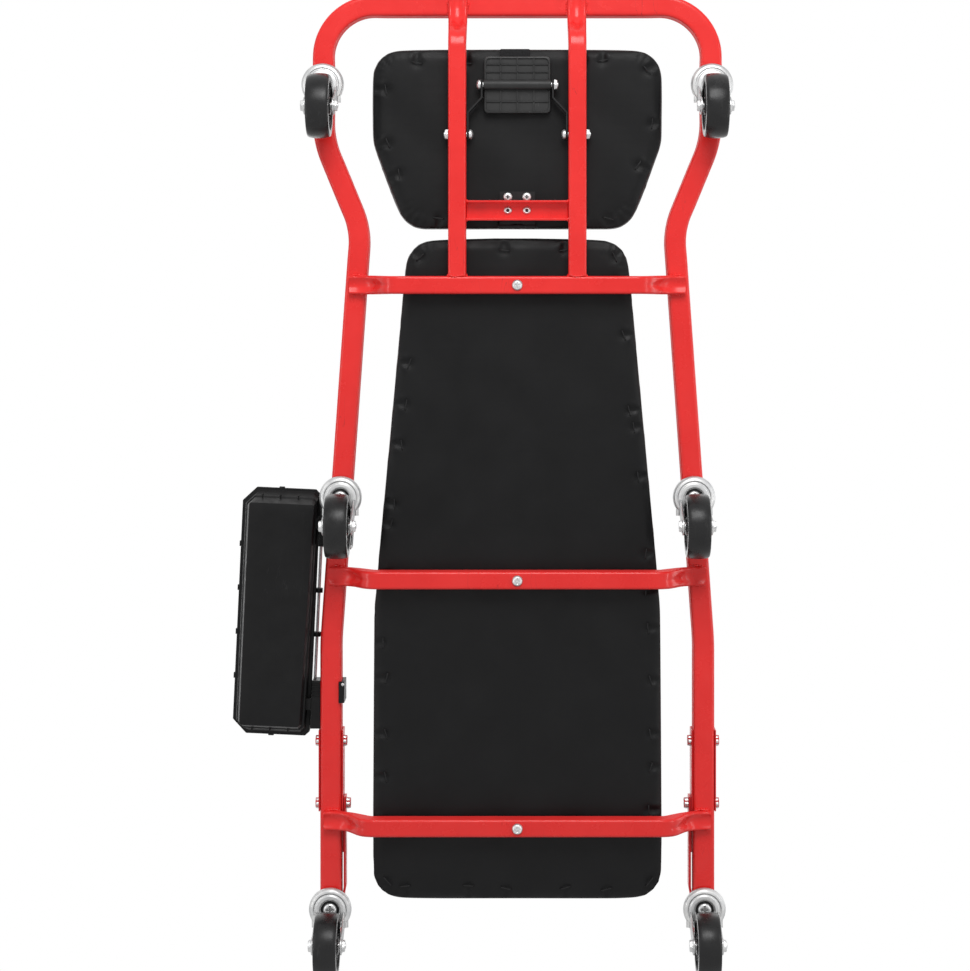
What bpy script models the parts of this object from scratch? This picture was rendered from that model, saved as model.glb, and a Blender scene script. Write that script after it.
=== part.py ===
"""Mechanics creeper: a bent square-tube frame on six swivel casters, with a long pad, a tilting
head pad on a swing-up prop, and a tool tray that hangs on a rod beside the frame.

X is across the creeper, Y runs from the head bar to the foot, and Z is up from the floor.
All sizes are in metres.
"""
import math

import bmesh
import bpy
from mathutils import Matrix, Vector

for old_object in list(bpy.data.objects):
    bpy.data.objects.remove(old_object, do_unlink=True)

# Fits
GAP = 0.0003              # between pieces that touch
HOLE_CLEARANCE = 0.0003   # round a bolt or screw, on the radius
TURNING_CLEARANCE = 0.0005  # round a pin that a piece turns on, on the radius

# Wheels and casters
WHEEL_DIAMETER = 0.070
WHEEL_WIDTH = 0.0262
WHEEL_SEGMENTS = 20
TREAD_FLAT = 0.008        # width of the level middle of the tread
TREAD_DROP = 0.003        # how far the tread falls to its edges
RIM_DEPTH = 0.005         # thickness of the tyre, seen from the side
WEB_RECESS = 0.003        # how far the disc lies inside the tyre
HUB_DIAMETER = 0.018
HUB_STAND = 0.0003        # hub beyond the tyre, on each side
AXLE_DIAMETER = 0.008
NUT_WIDTH = 0.011         # across the flats of the axle's head and nut
NUT_HEIGHT = 0.0035
CASTER_TRAIL = 0.0265     # axle behind the swivel
CROWN_DIAMETER = 0.046
CROWN_STEP = 0.0052       # rise from the crown's middle plate to its rim
CROWN_PLATE_DIAMETER = 0.026
CROWN_SHEET = 0.0025
CROWN_CLEARANCE = 0.002   # above the wheel
LEG_SHEET = 0.002
LEG_FOOT_DIAMETER = 0.019
LEG_TOP_LENGTH = 0.028
WHEEL_SIDE_CLEARANCE = 0.0007
RACE_DIAMETER = 0.041
RACE_HEIGHT = 0.003
KING_PIN_DIAMETER = 0.010
KING_HEAD_DIAMETER = 0.015
KING_HEAD_HEIGHT = 0.0025
STUD_LENGTH = 0.014       # inside the rail
CASTER_SEGMENTS = 14

# Frame tubes
RAIL_SIZE = 0.0232
TUBE_SIZE = 0.0192
TUBE_CORNER = 0.003
HEAD_HALF_WIDTH = 0.2107  # centre lines of the rails, out from the middle
WAIST_HALF_WIDTH = 0.1708
HIP_HALF_WIDTH = 0.2025
SHOULDER_Y = 0.146
WAIST_Y = 0.243
HIP_Y = 0.690
HEAD_BEND = 0.056         # radii of the rail's bends, on its centre line
SHOULDER_BEND = 0.110
WAIST_BEND = 0.090
HIP_BEND = 0.350
FRAME_END_Y = 1.010
TAIL_LENGTH = 0.1763      # from the tail joint to the end of the frame
NECK_BAR_Y = 0.3033
MIDDLE_BAR_Y = 0.6187
FOOT_BAR_INSET = 0.1268   # from the end of the frame
HEAD_CASTER_Y = 0.0864
MIDDLE_CASTER_AHEAD = 0.0855  # of the middle crossbar
FOOT_CASTER_INSET = 0.0312   # from the end of the frame
CROSSBAR_DROP = 0.040     # from the rail's underside down to the crossbar's underside
BAR_END_THICKNESS = 0.008  # of the flattened ends
BAR_END_DENT = 0.0032     # how far the underside of an end is pressed in
BAR_END_OVERLAP = 0.007   # past the middle of the rail
BAR_RISE_RUN = 0.026      # level distance that a rising end takes
BAR_BEND = 0.016
HEADREST_TUBE_X = 0.0643
TAIL_WALL = 0.0015
PLUG_CAP = 0.003
PLUG_LENGTH = 0.014

# Splice over the tail joint, with its bolts, and the stay beside the tail
SPLICE_SHEET = 0.0015
SPLICE_AHEAD = 0.0467     # splice on the head side of the tail joint
SPLICE_FLANGE_BEHIND = 0.0413
SPLICE_WEB_BEHIND = 0.0913
SPLICE_FLANGE_LIFT = 0.002  # flange edge above the rail's underside
SPLICE_BOLT_REACH = 0.0340  # each bolt from the tail joint
FRAME_BOLT_DIAMETER = 0.006
FRAME_NUT_WIDTH = 0.010
FRAME_NUT_HEIGHT = 0.0045
STAY_SHEET = 0.0025
STAY_HEIGHT = 0.016
STAY_LIFT = 0.004         # stay's lower edge above the rail's underside
STAY_LAP = 0.008          # stay beyond its bolt
STAY_JOG_INSET = 0.052     # from the end of the frame
STAY_JOG_LENGTH = 0.010
STAY_END_INSET = 0.016
STAY_RIVET_DIAMETER = 0.005
STAY_RIVET_LENGTH = 0.006

# Pads
BOARD_THICKNESS = 0.009
BOARD_INSET = 0.006       # board's edge inside the cushion's outline
WRAP_THICKNESS = 0.0013   # cover folded under the board
WRAP_MARGIN = 0.020       # width of that fold
PAD_CORNER = 0.029
PAD_CORNER_STEPS = 5
HEAD_PAD_TOP_Y = 0.0497
HEAD_PAD_SIDE_Y = 0.150
HEAD_PAD_END_Y = 0.2438
HEAD_PAD_HALF_WIDTH = 0.1566
HEAD_PAD_NECK_HALF_WIDTH = 0.1206
HEAD_PAD_THICKNESS = 0.033
MAIN_PAD_TOP_Y = 0.2540
MAIN_PAD_HIP_Y = 0.652
MAIN_PAD_END_INSET = 0.0448  # from the end of the frame
MAIN_PAD_NECK_HALF_WIDTH = 0.1187
MAIN_PAD_HALF_WIDTH = 0.1567
MAIN_PAD_THICKNESS = 0.035
PAD_CROWN = 0.006
PAD_SCREW_HEAD_DIAMETER = 0.0115
PAD_SCREW_HEAD_HEIGHT = 0.0035
PAD_SCREW_DIAMETER = 0.006
PAD_SCREW_BITE = 0.007    # how far a screw goes into its board

# Head pad's hinge and the channel that carries it
CHANNEL_START_Y = 0.2129
CHANNEL_WIDTH = 0.0213
CHANNEL_HEIGHT = 0.0136
CHANNEL_SHEET = 0.002
LEAF_SHEET = 0.0013
LEAF_WIDTH = 0.038
LEAF_GAP = 0.0015         # between the closed leaves
MIDDLE_KNUCKLE = 0.0124
KNUCKLE_DIAMETER = 0.0052
HINGE_PIN_DIAMETER = 0.0022
HINGE_Y = 0.2405
LEAF_START_Y = 0.203
LEAF_SCREW_X = 0.0102
LEAF_SCREW_Y = 0.2088
LEAF_SCREW_HEAD_DIAMETER = 0.0068
LEAF_SCREW_HEAD_HEIGHT = 0.002
LEAF_SCREW_DIAMETER = 0.0036
LEAF_SCREW_BITE = 0.006
RIVET_Y = 0.2234
RIVET_DIAMETER = 0.0032
RIVET_HEAD_DIAMETER = 0.0052
RIVET_HEAD_HEIGHT = 0.0012

# Prop under the head pad
PROP_PIVOT_Y = 0.1419
PROP_ROD_Y = 0.0888
PROP_BOLT_DIAMETER = 0.006
ARM_SHEET = 0.002
ARM_WIDTH = 0.012
ARM_SIDE_GAP = 0.0008     # arm to headrest tube
ARM_BEND_START_Y = 0.103
ARM_BEND_END_Y = 0.119
PLATE_WIDTH = 0.071
PLATE_LENGTH = 0.0606
PLATE_HEIGHT = 0.008
PLATE_TOP_GAP = 0.0008    # under the head pad
PLATE_WALL = 0.0022
POCKET_DEPTH = 0.0055
POCKET_COLUMNS = 4
POCKET_AHEAD_ROWS = 3     # on the head side of the barrel
POCKET_BEHIND_ROWS = 2
BARREL_DIAMETER = 0.011
BARREL_STAND = 0.0008     # barrel past the plate, on each side
ARM_BARREL_GAP = 0.0008

# Tool tray, its rod and its clips
TRAY_LENGTH = 0.269
TRAY_WIDTH = 0.0845
TRAY_DEPTH = 0.031
TRAY_WALL = 0.002
TRAY_NEAR_DRAFT = 0.0065   # how far the floor lies inside the rim, on the rail's side
TRAY_FAR_DRAFT = 0.0100
TRAY_END_DRAFT = 0.0140
TRAY_FLOOR_CHAMFER = 0.002
TRAY_LIP = 0.003
TRAY_LIP_HEIGHT = 0.004
TRAY_CHAMFER = 0.015      # corners away from the rail
TRAY_INNER_CHAMFER = 0.005
TRAY_RIM_DROP = 0.002     # rim below the rod's axis
TRAY_EDGE = 0.0026        # rim's inner edge out from the rod's axis
TRAY_TAB_PITCH = 0.048
TRAY_TAB_LENGTH = 0.006
TRAY_TAB_STAND = 0.0016
TRAY_KNUCKLE_LENGTH = 0.008
TRAY_KNUCKLE_WALL = 0.0018
ROD_DIAMETER = 0.0038
ROD_STANDOFF = 0.0085     # rod's axis out from the rail
ROD_DROP = 0.003          # rod's axis below the rail's top
ROD_END = 0.014           # rod's ends, short of the clips' far ends
CLIP_LENGTH = 0.052
CLIP_SPACING = 0.1965
CLIP_SPLICE_GAP = 0.0015  # rear clip to the splice
CLIP_STRAP = 0.023
CLIP_SHEET = 0.003
CLIP_HEIGHT = 0.020
CLIP_LIP = 0.003          # snap lip under the rail
CLIP_LIP_HEIGHT = 0.002
CLIP_SNAP = 0.0015        # clip's face past the rod's axis
TRAY_HEEL_HEIGHT = 0.007
TRAY_HEEL_LENGTH = 0.012
TRAY_HEEL_DROP = 0.009    # heel's top below the rod's axis

# Places that follow from the sizes above
CROSSBAR_Y = {"neck": NECK_BAR_Y, "middle": MIDDLE_BAR_Y, "foot": FRAME_END_Y - FOOT_BAR_INSET}
TAIL_JOINT_Y = FRAME_END_Y - TAIL_LENGTH
SPLICE_START_Y = TAIL_JOINT_Y - SPLICE_AHEAD
SPLICE_FLANGE_END_Y = TAIL_JOINT_Y + SPLICE_FLANGE_BEHIND
SPLICE_END_Y = TAIL_JOINT_Y + SPLICE_WEB_BEHIND
SPLICE_BOLT_Y = (TAIL_JOINT_Y - SPLICE_BOLT_REACH, TAIL_JOINT_Y + SPLICE_BOLT_REACH)
STAY_JOG_Y = FRAME_END_Y - STAY_JOG_INSET
STAY_END_Y = FRAME_END_Y - STAY_END_INSET
MAIN_PAD_END_Y = FRAME_END_Y - MAIN_PAD_END_INSET
REAR_CLIP_Y = SPLICE_START_Y - CLIP_SPLICE_GAP - CLIP_LENGTH / 2
CLIP_Y = {"front": REAR_CLIP_Y - CLIP_SPACING, "rear": REAR_CLIP_Y}
CASTER_Y = {
    "head": HEAD_CASTER_Y,
    "middle": CROSSBAR_Y["middle"] - MIDDLE_CASTER_AHEAD,
    "foot": FRAME_END_Y - FOOT_CASTER_INSET,
}
AXLE_Z = WHEEL_DIAMETER / 2 * math.cos(math.pi / WHEEL_SEGMENTS)
CROWN_BOTTOM = AXLE_Z + WHEEL_DIAMETER / 2 + CROWN_CLEARANCE
CROWN_TOP = CROWN_BOTTOM + CROWN_STEP + CROWN_SHEET
RACE_BOTTOM = CROWN_TOP + TURNING_CLEARANCE
RAIL_BOTTOM = RACE_BOTTOM + RACE_HEIGHT + GAP
RAIL_TOP = RAIL_BOTTOM + RAIL_SIZE
RAIL_Z = RAIL_BOTTOM + RAIL_SIZE / 2
BAR_BOTTOM = RAIL_BOTTOM - CROSSBAR_DROP
BAR_Z = BAR_BOTTOM + TUBE_SIZE / 2
PAD_BOTTOM = BAR_BOTTOM + TUBE_SIZE + GAP
BOARD_BOTTOM = PAD_BOTTOM + WRAP_THICKNESS + GAP
ROD_Z = RAIL_TOP - ROD_DROP

ARC_STEP = math.radians(18)  # longest step round a bend


def finish(name, colour, roughness, metallic=0.0):
    material = bpy.data.materials.new(name)
    material.use_nodes = True
    shader = material.node_tree.nodes["Principled BSDF"]
    shader.inputs["Base Color"].default_value = (*colour, 1.0)
    shader.inputs["Roughness"].default_value = roughness
    shader.inputs["Metallic"].default_value = metallic
    return material


RED_PAINT = finish("red_paint", (0.78, 0.045, 0.035), 0.35)
BLACK_VINYL = finish("black_vinyl", (0.02, 0.02, 0.022), 0.5)
PLYWOOD = finish("plywood", (0.34, 0.22, 0.12), 0.75)
BLACK_PLASTIC = finish("black_plastic", (0.016, 0.016, 0.017), 0.45)
WHEEL_PLASTIC = finish("wheel_plastic", (0.03, 0.03, 0.031), 0.4)
ZINC = finish("zinc_plate", (0.72, 0.73, 0.74), 0.3, 1.0)
BRIGHT_STEEL = finish("bright_steel", (0.5, 0.5, 0.51), 0.35, 1.0)
DARK_STEEL = finish("dark_steel", (0.04, 0.04, 0.042), 0.5, 0.8)


def skin(rings, loop=False):
    """Faces over equal rings of points, with flat ends, or closed on themselves as a loop."""
    shape = bmesh.new()
    rows = [[shape.verts.new(point) for point in ring] for ring in rings]
    pairs = list(zip(rows, rows[1:]))
    if loop:
        pairs.append((rows[-1], rows[0]))
    else:
        shape.faces.new(rows[0][::-1])
        shape.faces.new(rows[-1])
    for row, following in pairs:
        for i, vert in enumerate(row):
            j = (i + 1) % len(row)
            shape.faces.new((vert, row[j], following[j], following[i]))
    bmesh.ops.recalc_face_normals(shape, faces=shape.faces)
    mesh = bpy.data.meshes.new("skin")
    shape.to_mesh(mesh)
    shape.free()
    return mesh


def moved(mesh, matrix):
    mesh.transform(matrix)
    return mesh


def combined(base, tools, operation):
    """The base mesh joined with the tool meshes, or cut by them."""
    helpers = []
    for mesh in (base, *tools):
        helper = bpy.data.objects.new("helper", mesh)
        bpy.context.scene.collection.objects.link(helper)
        helpers.append(helper)
    for helper in helpers[1:]:
        step = helpers[0].modifiers.new("step", "BOOLEAN")
        step.operation = operation
        step.object = helper
    graph = bpy.context.evaluated_depsgraph_get()
    result = bpy.data.meshes.new_from_object(helpers[0].evaluated_get(graph))
    for helper in helpers:
        bpy.data.objects.remove(helper)
    return result


def joined(base, *tools):
    return combined(base, tools, "UNION")


def cut(base, *tools):
    return combined(base, tools, "DIFFERENCE")


def circle(radius, segments, start=0.0):
    turns = [start + 2 * math.pi * i / segments for i in range(segments)]
    return [(radius * math.cos(turn), radius * math.sin(turn)) for turn in turns]


def hexagon(width):
    """Twelve points on a hexagon of this width across its flats: corners and middles of sides."""
    reach = width / 2
    radii = [reach if i % 2 else reach / math.cos(math.pi / 6) for i in range(12)]
    return [
        (radius * math.cos(math.pi * i / 6), radius * math.sin(math.pi * i / 6))
        for i, radius in enumerate(radii)
    ]


def rounded_box(width, height, corner, steps=2):
    """Points round a rectangle with round corners, anticlockwise from its right side."""
    points = []
    for quarter, (sx, sy) in enumerate(((1, 1), (-1, 1), (-1, -1), (1, -1))):
        for i in range(steps + 1):
            turn = math.pi / 2 * (quarter + i / steps)
            x = sx * (width / 2 - corner) + corner * math.cos(turn)
            y = sy * (height / 2 - corner) + corner * math.sin(turn)
            points.append((x, y))
    return points


def crushed_box(width, height, corner, dent):
    """A rounded rectangle whose underside is pressed in along its middle."""
    points = rounded_box(width, height, corner)
    turn = 3 * len(points) // 4
    floor = [(s * width / 4, dent * (1 - abs(s) / 2) - height / 2) for s in (-1, 0, 1)]
    return points[:turn] + floor + points[turn:]


def strip_section(thickness, width):
    """The square corners of a flat strip's section."""
    return [(a * thickness / 2, b * width / 2) for a, b in ((1, -1), (1, 1), (-1, 1), (-1, -1))]


def turned(profile, segments, loop=False, start=0.0):
    """A profile of (radius, height) pairs turned about Z."""
    rings = []
    for radius, height in profile:
        rings.append([(x, y, height) for x, y in circle(radius, segments, start)])
    return skin(rings, loop)


def prism(outline, low, high):
    """An outline in X and Y between two heights."""
    return skin([[(x, y, z) for x, y in outline] for z in (low, high)])


def box(x, y, z):
    """A block between the low and high ends given for each direction."""
    outline = [(x[0], y[0]), (x[1], y[0]), (x[1], y[1]), (x[0], y[1])]
    return prism(outline, *z)


ALONG_X = Matrix.Rotation(math.pi / 2, 4, "Y")
ALONG_Y = Matrix.Rotation(-math.pi / 2, 4, "X")


def pin(diameter, low, high, place, direction=ALONG_X, segments=12):
    """A round bar from low to high along its own axis, which passes through place."""
    mesh = prism(circle(diameter / 2, segments), low, high)
    return moved(mesh, Matrix.Translation(place) @ direction)


def bolt(diameter, low, high, width, height):
    """A bolt along X whose shank spans low to high, with its head and nut outside these."""
    sections = [
        (hexagon(width), low - height),
        (hexagon(width), low),
        (circle(diameter / 2, 12), low),
        (circle(diameter / 2, 12), high),
        (hexagon(width), high),
        (hexagon(width), high + height),
    ]
    rings = [[(along, x, y) for x, y in section] for section, along in sections]
    return skin(rings)


def filleted(corners, radii):
    """The points of a line through these corners, each inner corner turned into an arc."""
    points = [Vector(corners[0])]
    for before, corner, after, radius in zip(corners, corners[1:], corners[2:], radii):
        corner = Vector(corner)
        back = (Vector(before) - corner).normalized()
        on = (Vector(after) - corner).normalized()
        half = back.angle(on) / 2
        middle = corner + (back + on).normalized() * (radius / math.sin(half))
        reach = radius / math.tan(half)
        first = corner + back * reach - middle
        sweep = math.pi - 2 * half
        side = (on * reach - back * reach).normalized()
        steps = max(2, math.ceil(sweep / ARC_STEP))
        outward = first.normalized()
        across = (side - outward * side.dot(outward)).normalized()
        for i in range(steps + 1):
            turn = sweep * i / steps
            points.append(middle + radius * (outward * math.cos(turn) + across * math.sin(turn)))
    points.append(Vector(corners[-1]))
    return points


def swept(path, sections, normal):
    """Sections of (aside, along the normal) pairs set square across a flat path."""
    rings = []
    for i, point in enumerate(path):
        ahead = path[min(i + 1, len(path) - 1)] - path[max(i - 1, 0)]
        aside = ahead.normalized().cross(normal)
        rings.append([point + aside * a + normal * b for a, b in sections[i]])
    return skin(rings)


def inset(corners, depth):
    """The corners of a convex anticlockwise outline whose sides all move in by depth."""
    lines = []
    for start, end in zip(corners, corners[1:] + corners[:1]):
        along = (Vector(end) - Vector(start)).normalized()
        lines.append((Vector(start) + depth * Vector((-along.y, along.x)), along))
    moved_in = []
    for (p, d), (q, e) in zip(lines[-1:] + lines[:-1], lines):
        share = (q - p).cross(e) / d.cross(e)
        moved_in.append(p + d * share)
    return moved_in


def pad_outline(corners, depth):
    """A pad's outline moved in by depth, with arcs at its corners."""
    places = inset(corners, depth)
    radius = max(PAD_CORNER - depth, PAD_CORNER / 8)
    points = []
    for i, corner in enumerate(places):
        back = (places[i - 1] - corner).normalized()
        on = (places[(i + 1) % len(places)] - corner).normalized()
        half = back.angle(on) / 2
        middle = corner + (back + on).normalized() * (radius / math.sin(half))
        start = math.atan2(*reversed(corner + back * (radius / math.tan(half)) - middle))
        sweep = math.pi - 2 * half
        for step in range(PAD_CORNER_STEPS + 1):
            turn = start + sweep * step / PAD_CORNER_STEPS
            points.append((middle.x + radius * math.cos(turn), middle.y + radius * math.sin(turn)))
    return points


creeper = bpy.data.objects.new("creeper", None)
bpy.context.scene.collection.objects.link(creeper)


def axis_empty(name, place, parent=creeper, turn=0.0):
    """An empty on a joint's axis, which carries the pieces that move with it."""
    empty = bpy.data.objects.new(name, None)
    bpy.context.scene.collection.objects.link(empty)
    empty.parent = parent
    empty.location = place
    empty.rotation_euler.z = turn
    return empty


def add(name, mesh, material, parent=creeper, place=(0, 0, 0), turn=0.0):
    """One named piece of the creeper."""
    mesh.name = name
    mesh.materials.clear()
    mesh.materials.append(material)
    mesh.shade_smooth()
    mesh.set_sharp_from_angle(angle=math.radians(35))
    piece = bpy.data.objects.new(name, mesh)
    bpy.context.scene.collection.objects.link(piece)
    piece.parent = parent
    piece.location = place
    piece.rotation_euler.z = turn
    return piece


SIDES = {"left": -1, "right": 1}


def rail_corners(sign):
    """Corners of a rail's centre line, from the middle of the head bar to the tail joint."""
    return [
        (sign * GAP / 2, 0),
        (sign * HEAD_HALF_WIDTH, 0),
        (sign * HEAD_HALF_WIDTH, SHOULDER_Y),
        (sign * WAIST_HALF_WIDTH, WAIST_Y),
        (sign * HIP_HALF_WIDTH, HIP_Y),
        (sign * HIP_HALF_WIDTH, TAIL_JOINT_Y - GAP / 2),
    ]


def rail_slope(y):
    """How much further out the rail gets for each metre towards the foot."""
    if y < SHOULDER_Y or y > HIP_Y:
        return 0.0
    if y < WAIST_Y:
        return (WAIST_HALF_WIDTH - HEAD_HALF_WIDTH) / (WAIST_Y - SHOULDER_Y)
    return (HIP_HALF_WIDTH - WAIST_HALF_WIDTH) / (HIP_Y - WAIST_Y)


def rail_x(y):
    """Distance of the rail's centre line from the middle of the creeper."""
    if y < SHOULDER_Y:
        return HEAD_HALF_WIDTH
    if y < WAIST_Y:
        return HEAD_HALF_WIDTH + rail_slope(y) * (y - SHOULDER_Y)
    if y < HIP_Y:
        return WAIST_HALF_WIDTH + rail_slope(y) * (y - WAIST_Y)
    return HIP_HALF_WIDTH


def stud_hole(x, y):
    """Cutter for a caster's stud, up from under the rail."""
    size = KING_PIN_DIAMETER + 2 * HOLE_CLEARANCE
    top = RAIL_BOTTOM + STUD_LENGTH + GAP
    return pin(size, RAIL_BOTTOM - GAP, top, (x, y, 0), Matrix(), CASTER_SEGMENTS)


def bolt_hole(x, y, z, diameter, reach):
    """Cutter for a bolt along X, reaching this far to both sides."""
    return pin(diameter + 2 * HOLE_CLEARANCE, -reach, reach, (x, y, z))


def build_rails():
    for side, sign in SIDES.items():
        bends = (HEAD_BEND, SHOULDER_BEND, WAIST_BEND, HIP_BEND)
        path = [Vector((p.x, p.y, RAIL_Z)) for p in filleted(rail_corners(sign), bends)]
        section = rounded_box(RAIL_SIZE, RAIL_SIZE, TUBE_CORNER)
        rail = swept(path, [section] * len(path), Vector((0, 0, 1)))
        bolt_x = sign * HIP_HALF_WIDTH
        holes = [bolt_hole(bolt_x, SPLICE_BOLT_Y[0], RAIL_Z, FRAME_BOLT_DIAMETER, RAIL_SIZE)]
        for end in ("head", "middle"):
            holes.append(stud_hole(sign * rail_x(CASTER_Y[end]), CASTER_Y[end]))
        add(f"{side}_rail", cut(rail, *holes), RED_PAINT)


def risen_tube(level_start, inner_edge, end, direction, origin):
    """Half a tube that runs level, rises beside a rail and ends flat under it.

    Distances run along direction from the origin, at the height of the tube's centre line."""
    end_z = RAIL_BOTTOM - GAP - BAR_END_THICKNESS / 2
    rise_end = inner_edge - BAR_END_THICKNESS / 2
    rise_start = rise_end - BAR_RISE_RUN
    corners = [(level_start, BAR_Z), (rise_start, BAR_Z), (rise_end, end_z), (end, end_z)]
    flat = filleted(corners, (BAR_BEND, BAR_BEND))
    path = [origin + direction * p.x + Vector((0, 0, p.y)) for p in flat]
    sections = []
    for p in flat:
        share = min(max((p.x - rise_start) / (rise_end - rise_start), 0), 1)
        height = TUBE_SIZE + (BAR_END_THICKNESS - TUBE_SIZE) * share
        dent = BAR_END_DENT * min(2 * share, 1)
        sections.append([(b, a) for a, b in crushed_box(TUBE_SIZE, height, TUBE_CORNER, dent)])
    return path, sections


def build_crossbars():
    for name, y in CROSSBAR_Y.items():
        centre = rail_x(y)
        inner = centre - RAIL_SIZE / 2
        end = centre + BAR_END_OVERLAP
        path, sections = risen_tube(0, inner, end, Vector((1, 0, 0)), Vector((0, y, 0)))
        mirrored = [Vector((-p.x, p.y, p.z)) for p in path[:0:-1]]
        whole = swept(mirrored + path[1:], sections[:0:-1] + sections[1:], Vector((0, 1, 0)))
        hole = pin(PAD_SCREW_DIAMETER + 2 * HOLE_CLEARANCE, 0, BAR_Z * 2, (0, y, 0), Matrix())
        add(f"{name}_crossbar", cut(whole, hole), RED_PAINT)


def build_headrest_tubes():
    start_y = CROSSBAR_Y["neck"] - TUBE_SIZE / 2 - GAP
    for side, sign in SIDES.items():
        x = sign * HEADREST_TUBE_X
        inner = -RAIL_SIZE / 2
        ahead = Vector((0, -1, 0))
        path, sections = risen_tube(-start_y, inner, BAR_END_OVERLAP, ahead, Vector((x, 0, 0)))
        tube = swept(path, sections, Vector((1, 0, 0)))
        hole = bolt_hole(x, PROP_PIVOT_Y, BAR_Z, PROP_BOLT_DIAMETER, TUBE_SIZE)
        add(f"{side}_headrest_tube", cut(tube, hole), RED_PAINT)


def build_tail():
    for side, sign in SIDES.items():
        x = sign * HIP_HALF_WIDTH
        outer = rounded_box(RAIL_SIZE, RAIL_SIZE, TUBE_CORNER)
        inner_size = RAIL_SIZE - 2 * TAIL_WALL
        inner = rounded_box(inner_size, inner_size, TUBE_CORNER - TAIL_WALL)
        start = TAIL_JOINT_Y + GAP / 2
        end = FRAME_END_Y - PLUG_CAP - GAP
        rings = []
        for section, y in ((outer, start), (outer, end), (inner, end), (inner, start)):
            rings.append([(x + a, y, RAIL_Z + b) for a, b in section])
        leg = skin(rings, loop=True)
        rivet_y = (STAY_JOG_Y + STAY_JOG_LENGTH + STAY_END_Y) / 2
        rivet_x = x - sign * RAIL_SIZE / 2
        stay_z = RAIL_BOTTOM + STAY_LIFT + STAY_HEIGHT / 2
        holes = [
            bolt_hole(x, SPLICE_BOLT_Y[1], RAIL_Z, FRAME_BOLT_DIAMETER, RAIL_SIZE),
            bolt_hole(rivet_x, rivet_y, stay_z, STAY_RIVET_DIAMETER, STAY_RIVET_LENGTH),
            stud_hole(x, CASTER_Y["foot"]),
        ]
        add(f"{side}_tail_leg", cut(leg, *holes), RED_PAINT)

        fit = inner_size - 2 * GAP
        cap = prism(outer, 0, PLUG_CAP)
        tongue = prism(rounded_box(fit, fit, TUBE_CORNER - TAIL_WALL), -PLUG_LENGTH, PLUG_CAP / 2)
        place = Matrix.Translation((x, FRAME_END_Y - PLUG_CAP, RAIL_Z)) @ ALONG_Y
        add(f"{side}_tail_plug", moved(joined(cap, tongue), place), BLACK_PLASTIC)

        half = RAIL_SIZE / 2 + GAP
        wide = half + SPLICE_SHEET
        roof = RAIL_TOP + GAP
        flange_foot = RAIL_BOTTOM + SPLICE_FLANGE_LIFT
        across = (x - wide, x + wide)
        flanged = (SPLICE_START_Y, SPLICE_FLANGE_END_Y)
        folded = box(across, flanged, (flange_foot, roof + SPLICE_SHEET))
        inside = box((x - half, x + half), (flanged[0] - GAP, flanged[1] + GAP), (0, roof))
        bare = (SPLICE_FLANGE_END_Y - SPLICE_SHEET, SPLICE_END_Y)
        web = box(across, bare, (roof, roof + SPLICE_SHEET))
        splice = joined(cut(folded, inside), web)
        stay_face = wide + GAP
        stay_reach = stay_face + STAY_SHEET + GAP
        sunk = SPLICE_SHEET / 2
        for y, inner_end in zip(SPLICE_BOLT_Y, (wide - sunk, stay_reach)):
            ends = sorted((sign * (wide - sunk), -sign * inner_end))
            fastener = bolt(FRAME_BOLT_DIAMETER, *ends, FRAME_NUT_WIDTH, FRAME_NUT_HEIGHT)
            splice = joined(splice, moved(fastener, Matrix.Translation((x, y, RAIL_Z))))
        add(f"{side}_splice", splice, RED_PAINT)

        bolted = x - sign * (stay_face + STAY_SHEET / 2)
        riveted = x - sign * (RAIL_SIZE / 2 + GAP + STAY_SHEET / 2)
        route = [
            (bolted, SPLICE_BOLT_Y[1] - STAY_LAP),
            (bolted, STAY_JOG_Y),
            (riveted, STAY_JOG_Y + STAY_JOG_LENGTH),
            (riveted, STAY_END_Y),
        ]
        path = [Vector((a, b, stay_z)) for a, b in route]
        strip = strip_section(STAY_SHEET, STAY_HEIGHT)
        stay = swept(path, [strip] * len(path), Vector((0, 0, 1)))
        hole = bolt_hole(bolted, SPLICE_BOLT_Y[1], RAIL_Z, FRAME_BOLT_DIAMETER, STAY_SHEET)
        stay = cut(stay, hole)
        rivet = pin(STAY_RIVET_DIAMETER, 0, sign * STAY_RIVET_LENGTH, (riveted, rivet_y, stay_z))
        add(f"{side}_tail_stay", joined(stay, rivet), RED_PAINT)


def caster_stem():
    """The fixed middle of a caster: stud, race, king pin and its head, turned in one profile."""
    pin_radius = KING_PIN_DIAMETER / 2
    plate_top = CROWN_BOTTOM + CROWN_SHEET
    boss_bottom = plate_top + TURNING_CLEARANCE
    boss = (CROWN_PLATE_DIAMETER / 2 + pin_radius) / 2
    head_top = CROWN_BOTTOM - TURNING_CLEARANCE
    profile = [
        (pin_radius, RAIL_BOTTOM + STUD_LENGTH),
        (pin_radius, RAIL_BOTTOM - GAP),
        (RACE_DIAMETER / 2, RAIL_BOTTOM - GAP),
        (RACE_DIAMETER / 2, RACE_BOTTOM),
        (boss, RACE_BOTTOM),
        (boss, boss_bottom),
        (pin_radius, boss_bottom),
        (pin_radius, head_top),
        (KING_HEAD_DIAMETER / 2, head_top),
        (KING_HEAD_DIAMETER / 2 - KING_HEAD_HEIGHT / 2, head_top - KING_HEAD_HEIGHT),
    ]
    return turned(profile, CASTER_SEGMENTS)


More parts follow.
